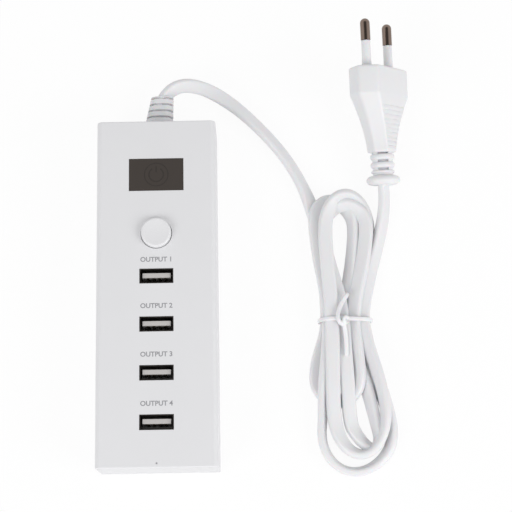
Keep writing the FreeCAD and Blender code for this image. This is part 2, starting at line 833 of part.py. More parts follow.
def make_strain_relief():
    """Grooved boot that leans the way the lead pulls it, with its neck and anchor inside the wall."""
    body = new_body("strain_relief")
    base = new_sketch(body, "XZ_Plane", y="seam_height", z=f"-({NORTH})")
    stadium(base, "relief_base_width", "relief_base_height")
    tip = new_sketch(body, "XZ_Plane", x="relief_lean", y="seam_height", z=f"-({NORTH} + relief_length)")
    stadium(tip, "relief_tip_width", "relief_tip_height")
    boot = body.newObject("PartDesign::AdditiveLoft", "Boot")
    boot.Profile = base
    boot.Sections = [tip]
    doc.recompute()
    for number in range(int(size("relief_groove_count"))):
        station = f"(relief_groove_first + {number} * relief_groove_pitch)"
        share = f"({station} / relief_length)"
        inset = "2 * relief_groove_depth"
        width = f"relief_base_width + (relief_tip_width - relief_base_width) * {share} - {inset}"
        height = f"relief_base_height + (relief_tip_height - relief_base_height) * {share} - {inset}"
        ring = new_sketch(
            body, "XZ_Plane", x=f"relief_lean * {share}", y="seam_height",
            z=f"-({NORTH} + {station} + relief_groove_width / 2)",
        )
        rectangle(ring, "2 * relief_base_width", "2 * relief_base_height")
        stadium(ring, width, height)
        pocket(body, ring, "relief_groove_width", along_normal=True)
    neck = new_sketch(body, "XZ_Plane", y="seam_height", z=f"-({NORTH})")
    stadium(neck, "neck_width", "neck_height")
    pad(body, neck, "wall_thickness")
    anchor = new_sketch(body, "XZ_Plane", y="seam_height", z=f"-({NORTH} - wall_thickness)")
    stadium(anchor, "anchor_width", "anchor_height")
    pad(body, anchor, "anchor_length")


# Tubes along routes of straight runs and tangent arcs


def rounded_path(points, label):
    """Join a route's points by straight runs and arcs as large as the runs allow."""
    edges = []
    start = points[0]
    radii = []
    for before, corner, after in zip(points, points[1:], points[2:]):
        back = before - corner
        ahead = after - corner
        turn = math.pi - back.getAngle(ahead)
        reach = 0.45 * min(back.Length, ahead.Length)
        radii.append(reach / math.tan(turn / 2))
        back.normalize()
        ahead.normalize()
        first = corner + back * reach
        last = corner + ahead * reach
        inward = back + ahead
        inward.normalize()
        middle = corner + inward * (radii[-1] / math.cos(turn / 2) - radii[-1])
        edges.append(Part.LineSegment(start, first).toShape())
        edges.append(Part.Arc(first, middle, last).toShape())
        start = last
    edges.append(Part.LineSegment(start, points[-1]).toShape())
    path = Part.Wire(edges)
    print(label, "bend radii", [round(radius, 1) for radius in radii], "length", round(path.Length, 1))
    return path


def tube(label, points, diameter):
    """Sweep a round section along a route and compare its volume with section times length."""
    path = rounded_path(points, label)
    heading = points[1] - points[0]
    ring = Part.Wire([Part.Circle(points[0], heading, diameter / 2).toShape()])
    shape = path.makePipeShell([ring], True, False)
    expected = math.pi * diameter ** 2 / 4 * path.Length
    print(label, "volume over section times length", round(shape.Volume / expected, 4))
    piece = doc.addObject("Part::Feature", label)
    piece.Shape = shape
    return keep(label, piece)


def plug_placement():
    """Lay the plug on a slanted facet of its block and on its collar, pins up and away."""
    half = size("plug_width") / 2
    flat = size("plug_flat") / 2
    thick = size("plug_thickness") / 2
    roll = math.atan2(thick, half - flat)
    facet = half * math.sin(roll)
    collar = size("plug_collar_diameter") / 2
    length = value("plug_block_length + plug_taper_length + plug_neck_length + plug_collar_length")
    block = size("plug_block_length")
    pitch = math.atan2(facet - collar, length - block)
    height = block * math.sin(pitch) + facet * math.cos(pitch)
    turn = FreeCAD.Rotation(UP, size("plug_yaw"))
    turn = turn.multiply(FreeCAD.Rotation(V(1, 0, 0), math.degrees(pitch)))
    turn = turn.multiply(FreeCAD.Rotation(V(0, 1, 0), math.degrees(roll)))
    place = V(size("plug_face_across"), size("plug_face_along"), height)
    return FreeCAD.Placement(place, turn), length


def make_cord():
    """Lead from the strain relief, tail into the plug, the hank between them and its tie."""
    diameter = size("cord_diameter")
    exit_point = V(size("relief_lean"), value(f"{NORTH} + relief_length"), size("seam_height"))
    lead = [exit_point, exit_point + V(0, size("lead_exit_run"), 0)] + [V(*point) for point in LEAD_ROUTE]
    tube("cord_lead", lead, diameter)
    place, length = plug_placement()
    plug_end = place.multVec(V(0, -length, 0))
    before = place.multVec(V(0, -length - size("tail_exit_run"), 0))
    tube("cord_tail", [V(*point) for point in TAIL_ROUTE] + [before, plug_end], diameter)

    half_waist = size("hank_waist_width") / 2
    waist = V(size("hank_waist_across"), size("hank_waist_along"), 0)
    half_tie = size("tie_width") / 2
    top = V(size("hank_top_across"), size("hank_top_along"), 0)
    bottom = V(size("hank_bottom_across"), size("hank_bottom_along"), 0)
    over = size("hank_top_radius")
    under = size("hank_bottom_radius")
    corners = {}
    for name, side in (("left", -1), ("right", 1)):
        corners[name, "top"] = top + V(side * over, 0, 0)
        corners[name, "high"] = waist + V(side * half_waist, 2 * half_tie, 0)
        corners[name, "low"] = waist + V(side * half_waist, -2 * half_tie, 0)
        corners[name, "bottom"] = bottom + V(side * under, 0, 0)
    edges = [Part.Arc(corners["left", "top"], top + V(0, over, 0), corners["right", "top"]).toShape()]
    for first, second in (("top", "high"), ("high", "low"), ("low", "bottom")):
        edges.append(Part.LineSegment(corners["right", first], corners["right", second]).toShape())
    lowest = bottom - V(0, under, 0)
    edges.append(Part.Arc(corners["right", "bottom"], lowest, corners["left", "bottom"]).toShape())
    for first, second in (("bottom", "low"), ("low", "high"), ("high", "top")):
        edges.append(Part.LineSegment(corners["left", first], corners["left", second]).toShape())
    height = size("hank_height")
    solid = Part.Face(Part.Wire(edges)).extrude(V(0, 0, height))
    rim = [edge for edge in solid.Edges if near(edge.BoundBox.ZMin, height)]
    solid = solid.makeFillet(size("hank_edge_radius"), rim)
    corner = waist - V(half_waist, half_tie, 0)
    thick = size("tie_thickness")
    belt = Part.makeBox(2 * half_waist, 2 * half_tie, height, corner)
    inside = V(thick, 0, thick)
    core = Part.makeBox(2 * (half_waist - thick), 2 * half_tie, height - 2 * thick, corner + inside)
    hank = doc.addObject("Part::Feature", "cord_hank")
    hank.Shape = solid.cut(belt.cut(core))
    keep("cord_hank", hank)
    tie = doc.addObject("Part::Feature", "cord_tie")
    tie.Shape = belt.cut(core)
    keep("cord_tie", tie)


def make_mains_wires():
    """Live and neutral conductors from the anchor down to the board."""
    start_along = value(f"{NORTH} - wall_thickness - anchor_length")
    board_end = value(f"{NORTH} - board_end_gap")
    level = value(f"{BOARD_TOP} + lead_wire / 2 + slip_fit / 2")
    wire = size("lead_wire")
    for label, side in (("live_wire", -1), ("neutral_wire", 1)):
        points = [
            V(side * 0.6 * wire, start_along, size("seam_height")),
            V(side * 0.6 * wire, start_along - wire, size("seam_height")),
            V(side * 1.4 * wire, board_end + wire, level + wire / 2),
            V(side * 2.4 * wire, board_end - 1.5 * wire, level),
            V(side * 2.7 * wire, board_end - 3 * wire, level),
        ]
        tube(label, points, wire)


def hexagon(sketch, width, flat, thickness):
    """Draw the plug's flat six-sided section."""
    return outline(sketch, [
        (f"-({width}) / 2", "0"),
        (f"-({flat}) / 2", f"-({thickness}) / 2"),
        (f"({flat}) / 2", f"-({thickness}) / 2"),
        (f"({width}) / 2", "0"),
        (f"({flat}) / 2", f"({thickness}) / 2"),
        (f"-({flat}) / 2", f"({thickness}) / 2"),
    ])


def grip_groove(body, number):
    """Cut one grip groove across both broad faces of the plug's taper."""
    station = f"(plug_grip_first + {number} * plug_grip_pitch)"
    share = f"({station} + plug_grip_width / 2) / plug_taper_length"
    flat = f"plug_flat + (plug_waist_flat - plug_flat) * {share} - 2 * plug_grip_margin"
    rise = f"(plug_thickness + (plug_waist_thickness - plug_thickness) * {share}) / 2"
    sketch = new_sketch(body, "XZ_Plane", z=f"plug_block_length + {station}")
    for side in (-1, 1):
        rectangle(sketch, flat, "2 * plug_grip_depth", y=f"{side} * {rise}")
    pocket(body, sketch, "plug_grip_width", along_normal=True)


def collar_rim(edge):
    """Say whether an edge is one of the two rims of the plug's collar."""
    reach = edge_box(edge)
    return near(reach.XLength, size("plug_collar_diameter")) and near(reach.YLength, 0)


def neck_station(number):
    """Give the formula for where one groove of the plug's neck begins."""
    return f"{PLUG_WAIST} + ({number} + 0.5) * plug_neck_length / plug_slot_count - plug_slot_width / 2"


def ring_rim(edge):
    """Say whether an edge is a rim of one of the rings between the neck's grooves."""
    reach = edge_box(edge)
    start = value(PLUG_WAIST)
    inside = start + 0.1 < -reach.YMax < start + size("plug_neck_length") - 0.1
    return inside and near(reach.XLength, size("plug_neck_diameter")) and near(reach.YLength, 0)


def neck_slot(body, station, place):
    """Deepen one groove of the neck on the two sides that face up and down as the plug lies."""
    up = place.Rotation.inverted().multVec(UP)
    slot = new_sketch(body, "XZ_Plane", z=station)
    upright = FreeCAD.Rotation(UP, math.degrees(math.atan2(up.z, up.x)) - 90)
    slot.AttachmentOffset = FreeCAD.Placement(slot.AttachmentOffset.Base, upright)
    for side in (-1, 1):
        rectangle(slot, "plug_slot_span", "2 * plug_slot_depth", y=f"{side} * plug_neck_diameter / 2")
    pocket(body, slot, "plug_slot_width", along_normal=True)


def make_plug():
    """Moulded plug body along its own -Y axis, with a slotted neck, a collar, sleeves and pins."""
    place, length = plug_placement()
    body = new_body("plug_body")
    face = hexagon(new_sketch(body, "XZ_Plane"), "plug_width", "plug_flat", "plug_thickness")
    pad(body, face, "plug_block_length")
    front = new_sketch(body, "XZ_Plane", z="plug_block_length")
    hexagon(front, "plug_width", "plug_flat", "plug_thickness")
    rear = new_sketch(body, "XZ_Plane", z=PLUG_WAIST)
    hexagon(rear, "plug_waist_width", "plug_waist_flat", "plug_waist_thickness")
    taper = body.newObject("PartDesign::AdditiveLoft", "Taper")
    taper.Profile = front
    taper.Sections = [rear]
    doc.recompute()
    fillet(body, "plug_edge_radius", lambda edge: True)
    for number in range(int(size("plug_grip_count"))):
        grip_groove(body, number)
    neck = circle(new_sketch(body, "XZ_Plane", z=PLUG_WAIST), "plug_neck_diameter")
    pad(body, neck, "plug_neck_length + plug_collar_length")
    collar = circle(new_sketch(body, "XZ_Plane", z=f"{PLUG_WAIST} + plug_neck_length"), "plug_collar_diameter")
    pad(body, collar, "plug_collar_length")
    fillet(body, "plug_collar_radius", collar_rim)
    for number in range(int(size("plug_slot_count"))):
        slot = new_sketch(body, "XZ_Plane", z=neck_station(number))
        circle(slot, "2 * plug_neck_diameter")
        circle(slot, "plug_neck_diameter - 2 * plug_ring_depth")
        pocket(body, slot, "plug_slot_width", along_normal=True)
    fillet(body, "plug_ring_radius", ring_rim)
    for number in range(int(size("plug_slot_count"))):
        neck_slot(body, neck_station(number), place)
    roots = new_sketch(body, "XZ_Plane")
    for side in (-1, 1):
        circle(roots, "pin_core + 2 * pin_fit", f"{side} * pin_spacing / 2")
    pocket(body, roots, "pin_root_length", along_normal=True)
    body.Placement = place

    sleeves = []
    pins = []
    for side in (-1, 1):
        across = f"{side} * pin_spacing / 2"
        barrel = cylinder("pin_sleeve_diameter", "pin_sleeve_length", across, turn=ALONG_Y)
        bore = cylinder("pin_core + 2 * pin_fit", "pin_sleeve_length", across, turn=ALONG_Y)
        sleeves.append(cut(barrel, bore))
        root_length = "pin_root_length + pin_sleeve_length"
        root = cylinder("pin_core", root_length, across, "-pin_root_length", turn=ALONG_Y)
        tip_length = "pin_length - pin_sleeve_length - pin_diameter / 2"
        metal = cylinder("pin_diameter", tip_length, across, "pin_sleeve_length", turn=ALONG_Y)
        nose = doc.addObject("Part::Sphere", "Nose")
        bind(nose, Radius="pin_diameter / 2", Placement__Base__x=across)
        bind(nose, Placement__Base__y="pin_length - pin_diameter / 2")
        pins.append(fuse(root, metal, nose))
    for label, solids in (("pin_sleeves", sleeves), ("plug_pins", pins)):
        keep(label, group(*solids)).Placement = place


def make_all():
    """Build every sub-part in order."""
    make_top_cover()
    make_bottom_cover()
    make_case_screws()
    make_indicator()
    make_power_button()
    make_switch()
    for number in range(int(size("port_count"))):
        make_socket(number)
    make_board()
    make_transformer()
    make_capacitors()
    make_small_parts()
    make_strain_relief()
    make_mains_wires()
    make_cord()
    make_plug()


def write_parts():
    """Check every object and sub-part, then write one file for each sub-part."""
    doc.recompute()
    for thing in doc.Objects:
        if "Invalid" in thing.State or "Error" in thing.State:
            raise RuntimeError(f"{thing.Name} failed: {thing.State}")
    os.makedirs("parts", exist_ok=True)
    for thing in nodes:
        shape = thing.Shape
        if shape.isNull() or not shape.isValid():
            raise RuntimeError(f"{thing.Label} has no valid shape")
        print(thing.Label, "solids", len(shape.Solids), "volume", round(shape.Volume, 1))
        shape.exportStep(f"parts/{thing.Label}.step")


make_all()
write_parts()
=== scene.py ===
"""Dressed scene of a multi-port desk charger with a hanked flat mains lead.

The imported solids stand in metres: +Y runs along the case towards the lead, +X is to the right and
+Z is up. Sizes in this file are millimetres, and MM turns them to metres for Blender.
"""
import logging
import math
from dataclasses import dataclass
from enum import Enum
from typing import Any, Mapping

import bpy
import numpy as np
from mathutils import Matrix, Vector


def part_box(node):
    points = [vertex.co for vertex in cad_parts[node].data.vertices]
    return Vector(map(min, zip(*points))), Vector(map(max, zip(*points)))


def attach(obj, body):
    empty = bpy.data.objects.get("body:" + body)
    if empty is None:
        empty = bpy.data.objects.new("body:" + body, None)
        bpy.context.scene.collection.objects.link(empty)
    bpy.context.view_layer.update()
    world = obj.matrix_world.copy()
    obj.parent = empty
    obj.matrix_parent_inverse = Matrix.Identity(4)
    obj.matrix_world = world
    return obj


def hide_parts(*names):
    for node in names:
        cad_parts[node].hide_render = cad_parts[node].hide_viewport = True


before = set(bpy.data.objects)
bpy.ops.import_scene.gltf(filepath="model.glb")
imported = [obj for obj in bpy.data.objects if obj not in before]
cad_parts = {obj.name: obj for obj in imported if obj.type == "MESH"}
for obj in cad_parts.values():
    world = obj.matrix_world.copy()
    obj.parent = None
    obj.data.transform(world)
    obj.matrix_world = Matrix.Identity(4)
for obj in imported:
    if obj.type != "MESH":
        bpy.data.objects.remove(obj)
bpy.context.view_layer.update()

MM = 0.001
# The body that every new piece rides on
CHARGER = "charger"
# Points for each stretch of a route's spline, and the spline's order
ROUTE_STEPS = 8
ROUTE_ORDER = 3
log = logging.getLogger("charger")

Colour = tuple[float, float, float, float]
Inputs = Mapping[str | int, Any]
Pair = tuple[float, float]
Place = tuple[float, float, float]
Row = tuple[float, float, float, float]


class Slot(Enum):
    """Finishes of the record that new pieces take."""

    WHITE_PVC = "white_pvc"
    TIE = "tie_pvc"
    CASE = "white_abs"
    WINDOW = "smoked_acrylic"


class Follow(Enum):
    """What the grain of a finish lies along: the charger's axes, or the piece's own length."""

    AXES = "Object"
    LENGTH = "UV"


# Node and mesh helpers


def linear(code: str) -> Colour:
    """Turn an sRGB hex colour into linear light.

    Args:
        code: six hex digits, red first.

    Returns:
        Red, green, blue and an alpha of 1.
    """
    parts = np.array([int(code[i:i + 2], 16) for i in (0, 2, 4)]) / 255
    light = np.where(parts <= 0.04045, parts / 12.92, ((parts + 0.055) / 1.055) ** 2.4)
    return (*light.tolist(), 1.0)


def add_node(
        tree: bpy.types.NodeTree, kind: str, inputs: Inputs | None = None, **settings: Any) -> bpy.types.Node:
    """Add a node with its settings and links.

    Args:
        tree: the node tree of a material or the world.
        kind: the node's type.
        inputs: a value for each socket, or the output socket that feeds it.
        settings: the node's own properties.

    Returns:
        The new node.
    """
    node = tree.nodes.new(kind)
    for name, value in settings.items():
        setattr(node, name, value)
    for socket, value in (inputs or {}).items():
        if isinstance(value, bpy.types.NodeSocket):
            tree.links.new(value, node.inputs[socket])
        else:
            node.inputs[socket].default_value = value
    return node


def per_metre(pattern_mm: float) -> float:
    """Give the texture scale at which a pattern repeats every so many millimetres."""
    return 1 / (pattern_mm * MM)


def new_object(name: str, data: bpy.types.ID) -> bpy.types.Object:
    """Link a new object to the scene.

    Args:
        name: the object's name.
        data: its mesh, lamp or camera.

    Returns:
        The object.
    """
    thing = bpy.data.objects.new(name, data)
    bpy.context.scene.collection.objects.link(thing)
    return thing


def looking(across: np.ndarray, above: np.ndarray, back: np.ndarray, place_at: np.ndarray) -> Matrix:
    """Give the matrix of a lamp or camera from its three directions and its place in metres."""
    columns = np.stack([across, above, back, place_at], axis=1)
    return Matrix([*columns.tolist(), [0, 0, 0, 1]])


def unit(vectors: np.ndarray) -> np.ndarray:
    """Bring vectors to a length of 1."""
    return vectors / np.linalg.norm(vectors, axis=-1, keepdims=True)


def surface(name: str, points: np.ndarray, ring: bool = False, smooth: bool = True) -> bpy.types.Object:
    """Make a closed mesh from rings of points.

    A quad joins point j of ring i with point j + 1 and the same two of ring i + 1. The first and
    last rings are closed by a face each, or joined to each other. The UV map holds the length along
    the piece and the length round it, both in metres.

    Args:
        name: the piece's name.
        points: rings of points in millimetres, as an array of rings, points and places.
        ring: whether the last ring joins the first.
        smooth: whether light flows over the quads' edges.

    Returns:
        The new object.
    """
    rings, count = points.shape[:2]
    index = np.arange(rings * count).reshape(rings, count)
    ends = [] if ring else [index[0].tolist(), index[-1, ::-1].tolist()]
    rows = np.vstack([index, index[:1]]) if ring else index
    grid = np.hstack([rows, rows[:, :1]])
    quads = np.stack([grid[:-1, :-1], grid[1:, :-1], grid[1:, 1:], grid[:-1, 1:]], axis=-1)
    mesh = bpy.data.meshes.new(name)
    mesh.from_pydata((points.reshape(-1, 3) * MM).tolist(), [], quads.reshape(-1, 4).tolist() + ends)
    mesh.polygons.foreach_set("use_smooth", (np.arange(len(mesh.polygons)) < quads[..., 0].size) & smooth)

    net = points.reshape(-1, 3)[grid] * MM
    along = np.linalg.norm(np.diff(net, axis=0), axis=2).mean(axis=1).cumsum()
    around = np.linalg.norm(np.diff(net, axis=1), axis=2).mean(axis=0).cumsum()
    lengths = np.stack(np.meshgrid(np.r_[0, along], np.r_[0, around], indexing="ij"), axis=-1)
    corners = np.stack([lengths[:-1, :-1], lengths[1:, :-1], lengths[1:, 1:], lengths[:-1, 1:]], axis=2)
    spread = np.zeros((len(mesh.loops), 2))
    spread[:corners.size // 2] = corners.reshape(-1, 2)
    mesh.uv_layers.new(name="lengthwise").data.foreach_set("uv", spread.ravel())
    mesh.update()
    return new_object(name, mesh)


def spline_points(control: np.ndarray, closed: bool = False) -> np.ndarray:
    """Read points along the smooth spline that a route's points control.

    Args:
        control: the route's points, in any unit.
        closed: whether the route joins its own start.

    Returns:
        Points along the spline, in the same unit.
    """
    curve = bpy.data.curves.new("route", "CURVE")
    curve.dimensions = "3D"
    curve.resolution_u = ROUTE_STEPS
    spline = curve.splines.new("NURBS")
    spline.points.add(len(control) - 1)
    weights = np.ones((len(control), 1))
    spline.points.foreach_set("co", np.hstack([control, weights]).ravel())
    spline.use_cyclic_u = closed
    spline.use_endpoint_u = not closed
    spline.order_u = ROUTE_ORDER
    route = bpy.data.objects.new("route", curve)
    mesh = bpy.data.meshes.new_from_object(route)
    points = np.empty(len(mesh.vertices) * 3)
    mesh.vertices.foreach_get("co", points)
    bpy.data.meshes.remove(mesh)
    bpy.data.curves.remove(curve)
    return points.reshape(-1, 3)


def rounded_bar(width: float, thickness: float, radius: float, points: int) -> np.ndarray:
    """Draw a flat bar's section with round corners.

    A point at angle a lies on a circle of the corner radius, pushed out towards its own corner:
    across = r cos a + sign(cos a) (width / 2 - r), up = r sin a + sign(sin a) (thickness / 2 - r).

    Args:
        width: the whole width.
        thickness: the whole thickness.
        radius: the corners' radius.
        points: points round the bar, a multiple of four.

    Returns:
        Across and upward places, one row a point.
    """
    angle = (np.arange(points) + 0.5) * 2 * np.pi / points
    across = radius * np.cos(angle) + np.sign(np.cos(angle)) * (width / 2 - radius)
    up = radius * np.sin(angle) + np.sign(np.sin(angle)) * (thickness / 2 - radius)
    return np.stack([across, up], axis=1)


def headings(path: np.ndarray, closed: bool = False) -> np.ndarray:
    """Give the direction of travel at each point of a path.

    Args:
        path: the path's points.
        closed: whether the path joins its own start.

    Returns:
        One direction a point.
    """
    if closed:
        return unit(np.roll(path, -1, axis=0) - np.roll(path, 1, axis=0))
    return unit(np.gradient(path, axis=0))


def turned_sides(path: np.ndarray, turn: np.ndarray) -> np.ndarray:
    """Give the direction in which a flat section's width lies along a path.

    It is level across the path, turned about the path: wide = side cos t + rise sin t.

    Args:
        path: the points to follow.
        turn: the angle at each point, in degrees.

    Returns:
        One direction a point.
    """
    along = headings(path)
    side = unit(np.cross(along, (0, 0, 1)))
    rise = np.cross(side, along)
    angle = np.radians(turn)[:, None]
    return side * np.cos(angle) + rise * np.sin(angle)


def laid(rows: np.ndarray) -> tuple[np.ndarray, np.ndarray]:
    """Lay out a flat section's route.

    Args:
        rows: x, y, level and turn of the route's points.

    Returns:
        Points along the route's spline, and the direction of the section's width at each.
    """
    path = spline_points(rows[:, :3])
    turn = spline_points(np.pad(rows[:, 3:], ((0, 0), (0, 2))))[:, 0]
    return path, turned_sides(path, turn)


def carried(section: np.ndarray, path: np.ndarray, wide: np.ndarray, closed: bool = False) -> np.ndarray:
    """Carry a section along a path.

    place = path + across wide + up (wide x heading), at each point of the path.

    Args:
        section: across and upward places of the section's points.
        path: the points to follow.
        wide: the direction of the section's width at each point.
        closed: whether the path joins its own start.

    Returns:
        Rings of points.
    """
    thin = unit(np.cross(wide, headings(path, closed)))
    return path[:, None] + section[None, :, :1] * wide[:, None] + section[None, :, 1:] * thin[:, None]


# Finishes

# Layers of noise in the grain and in the mottle
GRAIN_DETAIL = 3.0
MOTTLE_DETAIL = 2.0
# The share by which the grain shifts the roughness, and the range of its noise that does so
GLOSS_SHIFT = 0.12
NOISE_LOW, NOISE_HIGH = 0.3, 0.7
# The share of light that scatters inside a soft plastic
GLOW_SHARE = 0.15


@dataclass(frozen=True)
class Finish:
    """What a surface is made of, and what its making shows.

    A fine grain from the mould, the die or the tool roughens it, and a broad mottle shifts its
    colour a little.
    """

    name: str
    colour: str
    roughness: float
    ior: float = 1.5
    metallic: float = 0.0
    grain_mm: float = 0.5
    grain_depth_mm: float = 0.004
    grain_stretch: Place = (1.0, 1.0, 1.0)
    mottle_mm: float = 18.0
    mottle: float = 0.03
    coat: float = 0.0
    glow_mm: float = 0.0
    follows: Follow = Follow.AXES

    def material(self) -> bpy.types.Material:
        """Give the finish's material, made on first use."""
        return bpy.data.materials.get(self.name) or self.make()

    def make(self) -> bpy.types.Material:
        """Build the material's nodes.

        Returns:
            The new material.
        """
        material = bpy.data.materials.new(self.name)
        material.use_nodes = True
        tree = material.node_tree
        shader = tree.nodes["Principled BSDF"]
        shader.inputs["Metallic"].default_value = self.metallic
        shader.inputs["IOR"].default_value = self.ior
        shader.inputs["Coat Weight"].default_value = self.coat
        if self.glow_mm:
            shader.inputs["Subsurface Weight"].default_value = GLOW_SHARE
            shader.inputs["Subsurface Scale"].default_value = self.glow_mm * MM
        place_on = add_node(tree, "ShaderNodeTexCoord").outputs[self.follows.value]
        grained = add_node(tree, "ShaderNodeMapping", {"Vector": place_on, "Scale": self.grain_stretch})
        grain = add_node(tree, "ShaderNodeTexNoise", {
            "Vector": grained.outputs["Vector"], "Scale": per_metre(self.grain_mm), "Detail": GRAIN_DETAIL})
        bump = add_node(tree, "ShaderNodeBump", {
            "Height": grain.outputs["Fac"], "Distance": self.grain_depth_mm * MM, "Strength": 1.0})
        gloss = add_node(tree, "ShaderNodeMapRange", {
            "Value": grain.outputs["Fac"], "From Min": NOISE_LOW, "From Max": NOISE_HIGH,
            "To Min": self.roughness * (1 - GLOSS_SHIFT), "To Max": self.roughness * (1 + GLOSS_SHIFT)})
        cloud = add_node(tree, "ShaderNodeTexNoise", {
            "Vector": grained.outputs["Vector"], "Scale": per_metre(self.mottle_mm), "Detail": MOTTLE_DETAIL})
        colour = add_node(tree, "ShaderNodeMix", {
            "Factor": cloud.outputs["Fac"], "A": linear(self.colour), "B": self.shade(1 - self.mottle)},
            data_type="RGBA")
        tree.links.new(colour.outputs["Result"], shader.inputs["Base Color"])
        tree.links.new(gloss.outputs["Result"], shader.inputs["Roughness"])
        tree.links.new(bump.outputs["Normal"], shader.inputs["Normal"])
        return material

    def shade(self, share: float) -> Colour:
        """Give the finish's colour at a share of its light."""
        red, green, blue, alpha = linear(self.colour)
        return red * share, green * share, blue * share, alpha


# Moulded ABS of the case: a fine spark-eroded satin that scatters highlights
CASE_ABS = Finish("abs_spark_eroded_white", "E4E4E6", 0.48, grain_mm=0.6, grain_depth_mm=0.006)
# Polished ABS of the button: smoother than the case, so its dish shows a soft gradient
BUTTON_ABS = Finish("abs_polished_white", "E8E8EA", 0.3, grain_depth_mm=0.001)
# Cast smoked acrylic: dark brown-grey with a clear reflection
SMOKED_ACRYLIC = Finish("acrylic_smoked_polished", "48423E", 0.16, ior=1.49, grain_depth_mm=0.0006,
                        mottle=0.1)
# Screen printed ink: flat grey with a dry, slightly uneven edge
GREY_INK = Finish("ink_screen_printed_grey", "9C9CA0", 0.6, grain_mm=0.15, grain_depth_mm=0.003,
                  mottle_mm=1.5, mottle=0.12)
# Darker ink of the symbol printed on the window
WINDOW_INK = Finish("ink_screen_printed_dark", "3E3936", 0.25, grain_mm=0.15, grain_depth_mm=0.001,
                    mottle=0.08)
# Extruded plasticised PVC of the flat lead: soft sheen, faint die lines and a little light inside
LEAD_PVC = Finish("pvc_extruded_white", "E8E8EA", 0.42, ior=1.53, grain_mm=0.5, grain_depth_mm=0.003,
                  grain_stretch=(0.05, 1.0, 1.0), glow_mm=1.0, follows=Follow.LENGTH)
# PVC coat of the wire tie: glossier than the lead, with lengthwise drawing lines
TIE_PVC = Finish("pvc_coated_ribbon_white", "EEEEF0", 0.35, ior=1.53, grain_mm=0.3, grain_depth_mm=0.004,
                 grain_stretch=(0.06, 1.0, 1.0), glow_mm=0.6, follows=Follow.LENGTH)
# Injection moulded PVC of the plug and the strain relief: a satin mould skin
PLUG_PVC = Finish("pvc_moulded_white", "E8E8EA", 0.45, ior=1.53, grain_mm=0.7, grain_depth_mm=0.006,
                  glow_mm=0.8)
# Drawn brass under bright nickel: brownish grey, streaked along each pin
NICKEL_BRASS = Finish("brass_nickel_plated_drawn", "948379", 0.16, metallic=1.0, grain_mm=0.25,
                      grain_depth_mm=0.003, grain_stretch=(1.0, 0.05, 1.0), mottle_mm=1.3, mottle=0.5)
# Folded tin-plated steel sheet of the sockets, with rolling lines; its colour is painted shade, much darker
# than tin, so the sockets' mouths read dark
TINNED_STEEL_PAINTED_SHADE = Finish("steel_tin_plated_rolled_painted_shade", "5E5853", 0.32, metallic=1.0, grain_mm=0.3,
                      grain_depth_mm=0.002, grain_stretch=(0.08, 1.0, 1.0), mottle_mm=4.0, mottle=0.15)
# Moulded glass-filled PBT of the sockets' tongues: matt grey with a fibre speckle
GREY_PBT = Finish("pbt_moulded_grey", "C6C2C0", 0.55, ior=1.57, grain_mm=0.25, grain_depth_mm=0.004,
                  mottle_mm=2.0, mottle=0.05)
# Gold flashed phosphor bronze of the contacts; its dull brown-yellow colour is painted shade of the socket,
# not the metal's own
GOLD_FLASH_PAINTED_SHADE = Finish("bronze_gold_flashed_stamped_painted_shade", "4E4330", 0.42, metallic=1.0, grain_mm=0.2,
                    grain_depth_mm=0.001, mottle=0.1)
# Solder mask over woven glass laminate: green, with the weave just showing
GREEN_FR4 = Finish("fr4_solder_masked_green", "2C6438", 0.4, ior=1.55, grain_mm=0.9, grain_depth_mm=0.01,
                   mottle_mm=6.0, mottle=0.15, coat=0.3)
# Sintered ferrite: dark grey, dry and pitted
FERRITE = Finish("ferrite_sintered", "3B3B3E", 0.62, grain_mm=0.3, grain_depth_mm=0.02, mottle_mm=3.0,
                 mottle=0.2)
# Polyester tape over the winding: warm yellow with a film's gloss
YELLOW_TAPE = Finish("polyester_tape_wound_yellow", "D6AC33", 0.28, grain_mm=1.2, grain_depth_mm=0.02,
                     grain_stretch=(1.0, 0.1, 1.0), mottle=0.1, coat=0.3)
# Phenolic of the bobbin: near-black, fine moulded matt
PHENOLIC = Finish("phenolic_moulded_black", "2A2522", 0.5, ior=1.6, grain_mm=0.4, grain_depth_mm=0.006,
                  mottle=0.12)
# Aluminium cans in a plain PVC sleeve: dark blue with a shrink film's sheen
SLEEVED_CAN = Finish("aluminium_can_sleeved", "2B3350", 0.3, grain_mm=2.0, grain_depth_mm=0.01, mottle=0.1,
                     coat=0.4)
# Moulded epoxy of the chips: charcoal, evenly sand-matt
CHIP_EPOXY = Finish("epoxy_moulded_black", "2C2C2E", 0.58, ior=1.56, grain_mm=0.2, grain_depth_mm=0.008,
                    mottle=0.1)
# Nickel-plated caps on the fuse: pale bright metal
FUSE_METAL = Finish("brass_nickel_plated_pressed", "C4C2BC", 0.25, metallic=1.0, grain_mm=0.3,
                    grain_depth_mm=0.002, mottle=0.1)
# Dipped epoxy of the safety capacitor: blue with a thick, slightly lumpy gloss
BLUE_EPOXY = Finish("epoxy_dipped_blue", "2E5AA0", 0.22, ior=1.56, grain_mm=2.2, grain_depth_mm=0.05,
                    mottle=0.1, coat=0.5)
# Clear tinted epoxy of the lamp: glossy red
LAMP_EPOXY = Finish("epoxy_cast_red", "B4301F", 0.12, ior=1.55, grain_depth_mm=0.001, mottle=0.1, coat=0.5)
# Moulded nylon of the switch: black satin
SWITCH_NYLON = Finish("nylon_moulded_black", "303033", 0.42, ior=1.53, grain_mm=0.5, grain_depth_mm=0.006,
                      mottle=0.1)
# Extruded PVC of the two conductors: brown and blue, smooth
BROWN_PVC = Finish("pvc_extruded_brown", "6A3E22", 0.4, ior=1.53, grain_depth_mm=0.003, mottle=0.08)
BLUE_PVC = Finish("pvc_extruded_blue", "2D5CA3", 0.4, ior=1.53, grain_depth_mm=0.003, mottle=0.08)
# Zinc-plated screws: cold grey with a crystalline bloom
ZINC_STEEL = Finish("steel_zinc_plated_rolled", "9EA2A8", 0.36, metallic=1.0, grain_mm=0.4,
                    grain_depth_mm=0.004, mottle_mm=1.2, mottle=0.25)


